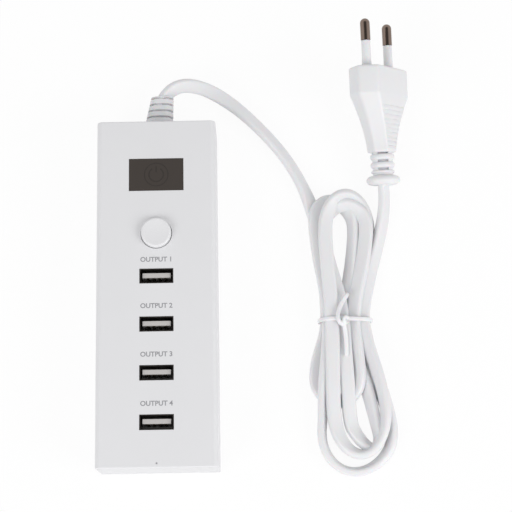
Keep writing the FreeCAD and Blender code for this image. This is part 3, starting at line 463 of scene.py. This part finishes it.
def dress(finish: Finish, *nodes: str) -> None:
    """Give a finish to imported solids.

    Args:
        finish: the finish.
        nodes: the solids' names.
    """
    for node in nodes:
        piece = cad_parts[node]
        piece.data.materials.clear()
        piece.data.materials.append(finish.material())
        log.info("%s: %s", node, finish.name)


def place(piece: bpy.types.Object, finish: Finish) -> bpy.types.Object:
    """Dress a new piece and let it move with the charger.

    Args:
        piece: the new object.
        finish: its finish.

    Returns:
        The same object.
    """
    piece.data.materials.append(finish.material())
    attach(piece, CHARGER)
    log.info("%s: %s", piece.name, finish.name)
    return piece


# The mains lead

# Route points round a loop's bend, and the shares of each leg at which it has points
BEND_POINTS = 7
LEG_STEPS = np.array([0.0, 0.3, 0.65])
# Where a loop's levels and turns are given: 0 and 4 at the tie, 1 to 3 round the bend
STATIONS = (0, 0.5, 1, 2, 3, 3.5, 4)


@dataclass(frozen=True)
class Bight:
    """One end loop of the hank: two legs from the tie and an oval bend.

    It enters and leaves at two places across the tie. Levels and turns are given at the tie, half way
    down the first leg, at the start, crown and end of the bend, half way up the second leg, and at
    the tie again. A turn of 0 lays the lead flat, and 90 stands it on its edge.
    """

    enter: float
    leave: float
    centre: Pair
    radius: Pair
    skew: float
    lean: float
    levels: tuple[float, ...]
    turns: tuple[float, ...]

    def route(self, tie: float) -> np.ndarray:
        """Work out the loop's route points.

        The bend is half an oval whose crown is pushed aside by the skew and whose right side is
        raised by the lean: x = centre + radius cos a + skew |sin a|, y = centre + radius sin a + lean
        cos a. Each leg eases from the tie to the bend: x = enter + (side - enter) (3 t t - 2 t t t).

        Args:
            tie: where the tie lies along the case.

        Returns:
            Rows of x, y, level and turn, from the tie to just before the tie.
        """
        start = 0 if self.centre[1] > tie else np.pi
        angle = np.linspace(start, start + np.pi, BEND_POINTS)
        bend_x = self.centre[0] + self.radius[0] * np.cos(angle) + self.skew * np.abs(np.sin(angle))
        bend_y = self.centre[1] + self.radius[1] * np.sin(angle) + self.lean * np.cos(angle)
        ease = LEG_STEPS * LEG_STEPS * (3 - 2 * LEG_STEPS)
        down_x = self.enter + (bend_x[0] - self.enter) * ease
        up_x = (self.leave + (bend_x[-1] - self.leave) * ease)[:0:-1]
        down_y = tie + (bend_y[0] - tie) * LEG_STEPS
        up_y = (tie + (bend_y[-1] - tie) * LEG_STEPS)[:0:-1]
        x = np.concatenate([down_x, bend_x, up_x])
        y = np.concatenate([down_y, bend_y, up_y])
        station = np.concatenate([LEG_STEPS, np.linspace(1, 3, BEND_POINTS), (4 - LEG_STEPS)[:0:-1]])
        level = np.interp(station, STATIONS, self.levels)
        turn = np.interp(station, STATIONS, self.turns)
        return np.stack([x, y, level, turn], axis=1)


@dataclass(frozen=True)
class WireTie:
    """The coated wire ribbon round the hank's waist: a band, a knot and two free tails."""

    along: float = -9.7
    width: float = 1.7
    thickness: float = 0.95
    corner: float = 0.4
    points: int = 16

    # The band's places across and up, clockwise as seen from the case's socket end
    band: tuple[Pair, ...] = (
        (65.0, 0.9), (64.7, 3.2), (65.2, 6.1), (67.2, 9.0), (70.5, 10.2), (75.0, 9.4), (80.0, 8.4),
        (84.3, 7.2), (86.5, 5.0), (86.4, 2.0), (85.1, 0.55), (75.0, 0.5), (66.2, 0.5))
    # Rows of x, y, level and turn
    tail_up: tuple[Row, ...] = (
        (76.0, -11.0, 9.9, 0.0), (74.3, -12.6, 10.7, 20.0), (72.8, -11.5, 11.1, 40.0),
        (72.2, -9.4, 11.1, 20.0), (72.6, -6.8, 10.6, 0.0), (74.0, -3.2, 9.8, -10.0),
        (76.8, 0.6, 9.0, -15.0))
    tail_down: tuple[Row, ...] = (
        (76.6, -9.9, 9.5, 0.0), (75.6, -9.1, 10.5, 20.0), (74.7, -10.4, 10.9, 25.0),
        (74.7, -12.4, 10.4, 10.0), (75.2, -15.0, 9.4, 0.0), (75.6, -19.5, 8.4, 10.0),
        (75.5, -24.9, 7.7, 15.0))

    def build(self) -> list[bpy.types.Object]:
        """Make the band and its tails.

        Returns:
            The new pieces.
        """
        section = rounded_bar(self.width, self.thickness, self.corner, self.points)
        path = spline_points(np.array([(across, self.along, up) for across, up in self.band]), closed=True)
        wide = np.broadcast_to((0.0, 1.0, 0.0), path.shape)
        ring = surface("tie_band", carried(section, path, wide, closed=True), ring=True)
        pieces = [place(ring, TIE_PVC)]
        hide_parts("cord_tie")
        for name, rows in (("tie_tail_up", self.tail_up), ("tie_tail_down", self.tail_down)):
            tail = surface(name, carried(section, *laid(np.array(rows))))
            pieces.append(place(tail, TIE_PVC))
        return pieces


@dataclass(frozen=True)
class MainsLead:
    """The flat two-core lead: from the strain relief through the hank to the plug."""

    width: float = 5.8
    thickness: float = 3.1
    corner: float = 1.15
    points: int = 32
    tie: float = -9.5
    relief: str = "strain_relief"
    exit: Place = (1.7, 84.4, 12.0)

    # Rows of x, y, level and turn: the free stretch from the strain relief to the hank
    lead: tuple[Row, ...] = (
        (0.6, 80.0, 12.0, -60.0), (1.4, 82.6, 12.0, -60.0), (3.3, 85.9, 12.0, -58.0),
        (6.2, 88.6, 11.9, -50.0), (10.0, 90.1, 11.6, -42.0), (14.2, 90.3, 10.9, -32.0),
        (19.8, 88.9, 9.8, -14.0), (26.8, 85.5, 8.1, 15.0), (35.0, 79.6, 6.2, 36.0),
        (43.0, 72.0, 4.5, 43.0), (50.5, 63.6, 3.2, 46.0), (56.2, 54.9, 2.8, 49.0),
        (60.4, 46.2, 2.85, 47.0), (63.4, 38.0, 2.1, 14.0), (65.6, 30.0, 1.7, 4.0),
        (67.2, 17.0, 1.7, 0.0), (68.3, 4.0, 1.7, 0.0))
    # From the hank to the plug
    tail: tuple[Row, ...] = (
        (82.5, -9.5, 4.6, 10.0), (83.6, -1.0, 4.3, -10.0), (85.2, 5.0, 3.8, -22.0),
        (86.4, 10.0, 3.2, -30.0), (88.6, 17.4, 2.8, -36.0), (90.8, 25.0, 2.9, -42.0),
        (92.5, 32.2, 3.9, -48.0), (93.3, 39.4, 5.5, -54.0), (93.17, 45.74, 6.78, -56.0),
        (93.06, 49.6, 7.57, -56.0))
    # The hank's loops in turn, the first at its south end
    bights: tuple[Bight, ...] = (
        Bight(68.6, 79.0, (72.0, -32.5), (9.0, 10.3), 0.0, 0.0,
              (1.7, 1.8, 2.0, 1.8, 4.6, 5.0, 5.0), (0, 5, 10, 4, 55, 50, 32)),
        Bight(79.0, 74.8, (76.5, 28.5), (9.1, 10.8), 0.6, 0.0,
              (5.0, 5.4, 5.8, 5.4, 3.3, 3.4, 5.2), (32, 30, 24, 58, 38, 30, -25)),
        Bight(74.8, 76.2, (81.5, -51.6), (5.2, 10.2), 3.9, 0.0,
              (5.2, 5.9, 4.0, 3.1, 3.0, 2.6, 1.8), (-25, 5, 22, 72, 64, 36, 0)),
        Bight(76.2, 69.3, (72.3, 31.0), (8.1, 10.4), -1.2, 0.0,
              (1.8, 2.8, 3.0, 2.9, 4.9, 4.8, 4.7), (0, 48, 64, 5, 8, 0, 0)),
        Bight(69.3, 81.9, (79.7, -53.5), (14.3, 17.5), -5.4, -4.5,
              (4.7, 6.2, 3.5, 3.1, 3.1, 2.4, 1.8), (0, 22, 75, 76, 60, 22, 0)),
        Bight(81.9, 70.1, (77.3, 28.0), (9.2, 15.3), 0.0, 0.0,
              (1.7, 1.8, 2.0, 7.0, 7.8, 7.8, 7.8), (0, 5, 10, 72, 8, 0, 0)),
        Bight(70.1, 82.5, (80.3, -47.6), (10.6, 17.1), 1.3, 1.8,
              (7.8, 7.6, 6.0, 5.4, 6.2, 6.4, 4.6), (0, 5, 18, 73, 67, 62, 16)))

    def build(self, held: list[bpy.types.Object]) -> None:
        """Make the lead and dress its strain relief.

        Args:
            held: the pieces of the tie and the plug; not used.
        """
        hank = [bight.route(self.tie) for bight in self.bights]
        path, wide = laid(np.vstack([self.lead, *hank, self.tail]))
        section = rounded_bar(self.width, self.thickness, self.corner, self.points)
        cord = place(surface("mains_lead", carried(section, path, wide)), LEAD_PVC)
        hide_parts("cord_lead", "cord_hank", "cord_tail")
        log.info("mains_lead: %.0f mm long", np.linalg.norm(np.diff(path, axis=0), axis=1).sum())
        dress(PLUG_PVC, self.relief)


@dataclass(frozen=True)
class Plug:
    """The flat two-pin plug at the lead's end: a moulding with hollow flanks, and a sleeve round each pin."""

    # The middle of the CAD plug's face, which lengths are measured from, and the plug's own directions
    face: Place = (91.7, 95.2, 16.614)
    wide: Place = (0.5525, 0.1783, -0.8143)
    thick: Place = (0.8331, -0.084, 0.5469)
    heading: Place = (-0.0291, 0.9804, 0.1949)
    # Points round each section, and the angle in degrees from which an edge stays sharp
    points: int = 144
    sharp_angle: float = 40.0
    # Half width, half flat and half thickness of the six-sided block and of the waist
    block: Place = (17.45, 12.6, 7.2)
    waist: Place = (6.3, 4.0, 4.9)
    # The power that rounds the broad faces' edges, and the sine below which the side edges are rounded
    edge_power: float = 24.0
    side_round: float = 0.06
    # Where the shoulder starts to bend, the flank starts, the bend meets the flank, and the waist ends
    shoulder: Row = (12.0, 12.6, 13.2, 36.0)
    bend_rows: int = 14
    hollow: float = 1.58
    # How far the section draws in at the moulding's two ends, by length
    drawn_in: tuple[Pair, ...] = (
        (1.05, 1.0), (1.12, 0.6), (1.35, 0.25), (1.7, 0.07), (2.3, 0.0),
        (35.2, 0.0), (35.6, 0.08), (35.9, 0.3), (36.0, 0.7))
    # The grips are notches across the broad faces: where those lie in the section, the plain margin
    # beside a notch, and the lengths of its two lips and two floor edges from its middle
    grip_first: float = 17.4
    grip_pitch: float = 1.82
    grip_count: int = 10
    grip_depth: float = 0.42
    grip_way: float = 90.0
    grip_margin: float = 0.9
    grip_lips: Row = (-0.4, -0.3, 0.3, 0.4)
    # The neck's radius, the middle, half length and rise of its three rings and its collar, the rows
    # that each of them takes, and the power that makes a section round
    neck: float = 4.2
    rings: tuple[Place, ...] = ((37.85, 1.22, 0.88), (41.2, 1.2, 0.88), (44.0, 0.6, 0.75), (47.5, 2.0, 2.87))
    ring_rows: int = 13
    circle_power: float = 2.0
    # The gaps before the rings are slotted from above and below: where up is in the section, the
    # slots' half span, how far from the axis they end, and the length of the step at their ends
    slot_count: int = 3
    slot_way: float = 146.1
    slot_span: float = 2.1
    slot_floor: float = 2.6
    slot_lip: float = 0.04

    # The pins' distance from the middle, and their sleeves' wall as radius and length, anticlockwise
    pin_offset: float = 9.3
    sleeve_points: int = 48
    wall: tuple[Pair, ...] = (
        (1.35, -1.3), (2.12, -1.3), (2.08, -0.4), (1.99, 0.9), (1.91, 2.4), (1.87, 5.0), (1.88, 9.5),
        (1.84, 9.8), (1.7, 9.95), (1.35, 9.95))

    def build(self) -> list[bpy.types.Object]:
        """Make the moulding and its sleeves, and dress the pins.

        Returns:
            The plug's pieces.
        """
        dress(NICKEL_BRASS, "plug_pins")
        body = place(self.moulding(), PLUG_PVC)
        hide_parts("plug_body")
        sleeves = [self.sleeve(f"pin_sleeve_{side}", way) for side, way in (("left", -1), ("right", 1))]
        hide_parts("pin_sleeves")
        return [body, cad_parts["plug_pins"], *sleeves]

    def share(self, back: np.ndarray) -> np.ndarray:
        """Give the block's share of the section, the rest being the waist's.

        The flank is hollow, (1 - u) ** hollow with u the share of the taper, and the shoulder before
        it is a parabola that meets it.

        Args:
            back: lengths from the face.

        Returns:
            A share for each length.
        """
        start, taper, meet, end = self.shoulder
        flank = np.clip((end - back) / (end - taper), 0, 1) ** self.hollow
        drop = 1 - ((end - meet) / (end - taper)) ** self.hollow
        bend = 1 - drop * (np.clip(back - start, 0, None) / (meet - start)) ** 2
        return np.where(back < meet, bend, flank)

    def body_rows(self) -> np.ndarray:
        """Work out the sections of the block and the taper, with a notch at each grip.

        Returns:
            Rows of length, half width, half flat, half thickness, power, notch direction, notch half
            span and notch floor.
        """
        ends, draw = np.array(self.drawn_in).T
        grips = self.grip_first + self.grip_pitch * np.arange(self.grip_count)
        lips = grips[:, None] + np.array(self.grip_lips)
        bend = np.linspace(self.shoulder[0], self.grip_first, self.bend_rows, endpoint=False)
        back = np.sort(np.concatenate([ends, bend[bend < lips[0, 0]], lips.ravel()]))
        sizes = self.waist + np.subtract(self.block, self.waist) * self.share(back)[:, None]
        sizes -= np.interp(back, ends, draw)[:, None]
        power, way = (np.full(len(back), value) for value in (self.edge_power, self.grip_way))
        span = np.where(np.isin(back, lips[:, 1:3]), sizes[:, 1] - self.grip_margin, 0)
        return np.column_stack([back, sizes, power, way, span, sizes[:, 2] - self.grip_depth])

    def neck_rows(self) -> np.ndarray:
        """Work out the round sections of the neck and the collar.

        Each ring is half an oval, length = middle - half cos a and radius = neck + rise sin a. A slot
        lies in the gap before it.

        Returns:
            Rows as those of the body.
        """
        rows = []
        edge = self.shoulder[-1]
        angle = np.linspace(0, np.pi, self.ring_rows)
        for number, (middle, half, rise) in enumerate(self.rings):
            if number < self.slot_count:
                gap = (edge + self.slot_lip, middle - half - self.slot_lip)
                rows += [(length, self.neck, self.slot_span) for length in gap]
            radii = self.neck + rise * np.sin(angle)
            rows += np.stack([middle - half * np.cos(angle), radii, np.zeros_like(radii)], axis=1).tolist()
            edge = middle + half
        back, radius, span = np.array(rows).T
        fixed = (self.circle_power, self.slot_way, self.slot_floor)
        power, way, floor = (np.full(len(back), value) for value in fixed)
        return np.column_stack([back, radius, radius, radius, power, way, span, floor])

    def moulding(self) -> bpy.types.Object:
        """Make the plug's body from its sections.

        A section's radius at angle a is (A ** p + B ** p) ** (-1 / p): A = |cos a| / width + S (1 -
        flat / width) / thickness is a slanted facet, B = |sin a| / thickness is a broad face, and the
        power p rounds the edge between them. S is |sin a|, kept off 0 so that the side edges are round.
        Within a notch's span the section is flat at its floor.

        Returns:
            The body.
        """
        rows = np.vstack([self.body_rows(), self.neck_rows()])
        back, width, flat, thickness, power, way, span, floor = rows.T[:, :, None]
        angle = np.linspace(2 * np.pi, 0, self.points, endpoint=False)
        level, rise = np.abs(np.cos(angle)), np.abs(np.sin(angle))
        facet = level / width + np.hypot(rise, self.side_round) * (1 - flat / width) / thickness
        radius = (facet ** power + (rise / thickness) ** power) ** (-1 / power)
        turn = np.radians(way)
        outward, aside = radius * np.cos(angle - turn), radius * np.sin(angle - turn)
        outward = np.where(np.abs(aside) < span, np.clip(outward, -floor, floor), outward)
        across = outward * np.cos(turn) - aside * np.sin(turn)
        up = outward * np.sin(turn) + aside * np.cos(turn)
        axes = np.array([self.wide, self.thick, self.heading])
        places = self.face + np.stack([across, up, np.broadcast_to(-back, up.shape)], axis=-1) @ axes
        body = surface("plug_moulding", places)
        body.data.set_sharp_from_angle(angle=math.radians(self.sharp_angle))
        return body

    def sleeve(self, name: str, way: int) -> bpy.types.Object:
        """Carry the sleeve's wall once round its pin.

        Its places are root + radius (wide cos a - thick sin a) + length heading. The path is a circle
        of 1 mm about the pin's axis, so the wall's radii are counted from there.

        Args:
            name: the piece's name.
            way: -1 for the left pin and 1 for the right one.

        Returns:
            The sleeve.
        """
        wide, thick = np.array(self.wide), np.array(self.thick)
        root = self.face + way * self.pin_offset * wide
        angle = np.linspace(0, 2 * np.pi, self.sleeve_points, endpoint=False)[:, None]
        outward = wide * np.cos(angle) - thick * np.sin(angle)
        section = np.array(self.wall) - (1, 0)
        rings = carried(section, root + outward, outward, closed=True)
        return place(surface(name, rings, ring=True), PLUG_PVC)


# The case and what it holds


@dataclass(frozen=True)
class Case:
    """The two covers and the screws that hold them."""

    covers: tuple[str, ...] = ("top_cover", "bottom_cover")
    screws: str = "case_screws"

    def build(self) -> None:
        """Dress the covers and the screws."""
        dress(CASE_ABS, *self.covers)
        dress(ZINC_STEEL, self.screws)


@dataclass(frozen=True)
class Indicator:
    """The smoked window, the lamp under it and the power symbol printed on it."""

    window: str = "indicator_window"
    lamp: str = "indicator_led"
    ink: float = 0.06
    ring_radius: float = 4.75
    ring_line: float = 0.4
    arc_radius: float = 2.9
    arc_line: float = 0.55
    arc_gap: float = 70.0
    arc_points: int = 72
    # Where the stroke starts and ends above the symbol's middle
    stroke: Pair = (1.0, 3.5)

    def build(self) -> None:
        """Dress the window and the lamp, and print the symbol."""
        dress(SMOKED_ACRYLIC, self.window)
        dress(LAMP_EPOXY, self.lamp)
        low, high = np.array(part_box(self.window)) / MM
        centre = np.array([(low[0] + high[0]) / 2, (low[1] + high[1]) / 2, high[2]])
        top = 90.0
        self.arc("symbol_ring", self.ring_radius, self.ring_line, (top, top + 360), centre)
        gap = self.arc_gap / 2
        self.arc("symbol_arc", self.arc_radius, self.arc_line, (top + gap, top + 360 - gap), centre)
        path = centre + np.array([(0, reach, 0) for reach in self.stroke])
        self.line("symbol_stroke", path, np.broadcast_to((1.0, 0.0, 0.0), path.shape), self.arc_line, False)

    def arc(self, name: str, radius: float, line: float, angles: Pair, centre: np.ndarray) -> None:
        """Print an arc: places at centre + radius (cos a, sin a), the line lying along the radius.

        Args:
            name: the piece's name.
            radius: the arc's radius.
            line: the line's width.
            angles: where it starts and ends, in degrees.
            centre: the symbol's middle.
        """
        closed = angles[1] - angles[0] >= 360
        angle = np.radians(np.linspace(*angles, self.arc_points, endpoint=not closed))
        outward = np.stack([np.cos(angle), np.sin(angle), np.zeros_like(angle)], axis=1)
        self.line(name, centre + radius * outward, outward, line, closed)

    def line(self, name: str, path: np.ndarray, wide: np.ndarray, width: float, closed: bool) -> None:
        """Print a line of ink half sunk in the window.

        Args:
            name: the piece's name.
            path: the line's points.
            wide: the direction of its width at each point.
            width: its width.
            closed: whether it joins its own start.
        """
        section = np.array([(1, 1), (-1, 1), (-1, -1), (1, -1)]) * (width / 2, self.ink / 2)
        print_line = surface(name, carried(section, path, wide, closed), closed, smooth=False)
        place(print_line, WINDOW_INK)


@dataclass(frozen=True)
class PushButton:
    """The round button, its plunger and the switch under it."""

    button: str = "power_button"
    switch: tuple[str, ...] = ("switch_plunger", "switch_body")

    def build(self) -> None:
        """Dress the button and what it presses."""
        dress(BUTTON_ABS, self.button)
        dress(SWITCH_NYLON, *self.switch)


@dataclass(frozen=True)
class SocketRow:
    """The upright sockets and the printed number north of each."""

    count: int = 4
    mark_rise: tuple[float, ...] = (6.6, 7.2, 7.2, 7.2)
    letter: float = 2.7
    letter_steps: int = 4
    boldness: float = 0.06
    ink: float = 0.06

    def build(self) -> None:
        """Dress each socket and print its mark."""
        for number in range(1, self.count + 1):
            # The shells' and contacts' dark colours are painted shade of the sockets' mouths
            dress(TINNED_STEEL_PAINTED_SHADE, f"usb_shell_{number}")
            dress(GREY_PBT, f"usb_insulator_{number}")
            dress(GOLD_FLASH_PAINTED_SHADE, f"usb_contacts_{number}")
            place(self.mark(number), GREY_INK)

    def mark(self, number: int) -> bpy.types.Object:
        """Print a socket's mark, half sunk in the top cover.

        Args:
            number: the socket's number.

        Returns:
            The mark.
        """
        name = f"port_mark_{number}"
        curve = bpy.data.curves.new(name, "FONT")
        curve.body = f"OUTPUT {number}"
        curve.size = self.letter * MM
        curve.offset = self.boldness * MM
        curve.extrude = self.ink / 2 * MM
        curve.align_x = "CENTER"
        curve.align_y = "CENTER"
        curve.resolution_u = self.letter_steps
        mesh = bpy.data.meshes.new_from_object(bpy.data.objects.new(name, curve))
        bpy.data.curves.remove(curve)
        low, high = np.array(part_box(f"usb_shell_{number}"))
        middle = (low + high) / 2
        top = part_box("top_cover")[1][2]
        mesh.transform(Matrix.Translation((middle[0], middle[1] + self.mark_rise[number - 1] * MM, top)))
        return new_object(name, mesh)


@dataclass(frozen=True)
class Electronics:
    """The circuit board, what stands on it and the two conductors that feed it."""

    board: str = "circuit_board"
    ferrites: tuple[str, ...] = ("transformer_core", "output_choke")
    bobbin: str = "transformer_bobbin"
    winding: str = "transformer_winding"
    cans: tuple[str, ...] = ("bulk_capacitor", "output_capacitors")
    chips: tuple[str, ...] = ("bridge_rectifier", "controller_chip", "optical_coupler")
    fuse: str = "input_fuse"
    disc: str = "safety_capacitor"
    live: str = "live_wire"
    neutral: str = "neutral_wire"

    def build(self) -> None:
        """Dress each part of the board."""
        dress(GREEN_FR4, self.board)
        dress(FERRITE, *self.ferrites)
        dress(PHENOLIC, self.bobbin)
        dress(YELLOW_TAPE, self.winding)
        dress(SLEEVED_CAN, *self.cans)
        dress(CHIP_EPOXY, *self.chips)
        dress(FUSE_METAL, self.fuse)
        dress(BLUE_EPOXY, self.disc)
        dress(BROWN_PVC, self.live)
        dress(BLUE_PVC, self.neutral)


# The studio


@dataclass(frozen=True)
class Softbox:
    """A square soft lamp."""

    name: str
    hangs_at: Place
    side: float
    watts: float

    def hang(self, target: Place) -> None:
        """Hang the lamp so that it looks at a target.

        Args:
            target: the place to look at.
        """
        data = bpy.data.lights.new(self.name, "AREA")
        data.size = self.side * MM
        data.energy = self.watts
        away = unit(np.subtract(self.hangs_at, target))
        across = unit(np.cross((0, 0, 1), away))
        lamp = new_object(self.name, data)
        lamp.matrix_world = looking(across, np.cross(away, across), away, np.array(self.hangs_at) * MM)


@dataclass(frozen=True)
class Studio:
    """Floor, soft lamps, surroundings and the camera."""

    # The camera: angles in degrees, and the nearest place that it sees
    target: Place = (39.65, 19.06, 0.0)
    distance: float = 614.7
    tilt: float = 13.172
    roll: float = -0.987
    lens: float = 104.0
    nearest: float = 10.0
    # The floor: half its side, its paper, and the share of pure white that the camera sees in it
    floor_reach: float = 2500.0
    floor_colour: str = "FAFAFA"
    floor_white: float = 0.92
    white: str = "FFFFFF"
    # Light from all round, the ceiling that mirrors see, and the heights of view between which the
    # white walls give way to it
    ambient: float = 0.6
    ceiling: float = 0.15
    walls_end: Pair = (0.7, 0.95)
    lamps: tuple[Softbox, ...] = (
        Softbox("left_softbox", (-750.0, -700.0, 820.0), 700.0, 5.6),
        Softbox("right_softbox", (980.0, -500.0, 750.0), 700.0, 6.4))

    def build(self) -> None:
        """Set up the whole studio."""
        bpy.context.scene.view_settings.view_transform = "Standard"
        self.camera()
        self.floor()
        self.surroundings()
        for lamp in self.lamps:
            lamp.hang(self.target)

    def camera(self) -> None:
        """Aim the camera: back along the tilt from the target, turned about its view by the roll."""
        tilt, roll = math.radians(self.tilt), math.radians(self.roll)
        back = np.array([0, -math.sin(tilt), math.cos(tilt)])
        right = np.array([1.0, 0, 0])
        up = np.cross(back, right)
        across = math.cos(roll) * right + math.sin(roll) * up
        above = math.cos(roll) * up - math.sin(roll) * right
        data = bpy.data.cameras.new("photo_camera")
        data.lens = self.lens
        data.clip_start = self.nearest * MM
        camera = new_object("photo_camera", data)
        eye = np.array(self.target) + self.distance * back
        camera.matrix_world = looking(across, above, back, eye * MM)
        bpy.context.scene.camera = camera

    def seen_straight(self, tree: bpy.types.NodeTree) -> bpy.types.NodeSocket:
        """Give 1 for rays from the camera, and for reflected and transmitted ones.

        Args:
            tree: the node tree of a material or the world.

        Returns:
            The socket that holds the answer.
        """
        path = add_node(tree, "ShaderNodeLightPath")
        mirror = add_node(tree, "ShaderNodeMath", {
            0: path.outputs["Is Glossy Ray"], 1: path.outputs["Is Transmission Ray"]}, operation="MAXIMUM")
        either = add_node(tree, "ShaderNodeMath", {
            0: path.outputs["Is Camera Ray"], 1: mirror.outputs["Value"]}, operation="MAXIMUM")
        return either.outputs["Value"]

    def floor(self) -> None:
        """Lay a pale floor that shows white where no shadow falls on it."""
        corners = np.array([(-1, -1, 0), (1, -1, 0), (1, 1, 0), (-1, 1, 0)]) * self.floor_reach * MM
        mesh = bpy.data.meshes.new("studio_floor")
        mesh.from_pydata(corners.tolist(), [], [(0, 1, 2, 3)])
        floor = new_object("studio_floor", mesh)
        material = bpy.data.materials.new("paper_matt_white")
        material.use_nodes = True
        tree = material.node_tree
        tree.nodes.remove(tree.nodes["Principled BSDF"])
        paper = add_node(tree, "ShaderNodeBsdfDiffuse", {"Color": linear(self.floor_colour)})
        white = add_node(tree, "ShaderNodeEmission", {"Color": linear(self.white), "Strength": 1.0})
        share = add_node(tree, "ShaderNodeMath", {
            0: self.seen_straight(tree), 1: self.floor_white}, operation="MULTIPLY")
        mix = add_node(tree, "ShaderNodeMixShader", {
            0: share.outputs["Value"], 1: paper.outputs["BSDF"], 2: white.outputs["Emission"]})
        tree.links.new(mix.outputs["Shader"], tree.nodes["Material Output"].inputs["Surface"])
        mesh.materials.append(material)

    def surroundings(self) -> None:
        """Surround the charger with an even pale light; mirrors see white walls and a dim ceiling."""
        world = bpy.data.worlds.new("studio")
        world.use_nodes = True
        bpy.context.scene.world = world
        tree = world.node_tree
        light = tree.nodes["Background"]
        light.inputs["Color"].default_value = linear(self.white)
        direction = add_node(tree, "ShaderNodeTexCoord").outputs["Generated"]
        height = add_node(tree, "ShaderNodeSeparateXYZ", {"Vector": direction}).outputs["Z"]
        low, high = self.walls_end
        walls = add_node(tree, "ShaderNodeMapRange", {
            "Value": height, "From Min": low, "From Max": high, "To Min": 1.0, "To Max": self.ceiling})
        strength = add_node(tree, "ShaderNodeMapRange", {
            "Value": self.seen_straight(tree), "To Min": self.ambient, "To Max": walls.outputs["Result"]})
        tree.links.new(strength.outputs["Result"], light.inputs["Strength"])


def main() -> None:
    """Build every sub-assembly in order."""
    logging.basicConfig(level=logging.INFO, format="%(name)s: %(message)s")
    Studio().build()
    MainsLead().build(WireTie().build() + Plug().build())
    for assembly in (Case(), Indicator(), PushButton(), SocketRow(), Electronics()):
        assembly.build()


if __name__ == "__main__":
    main()
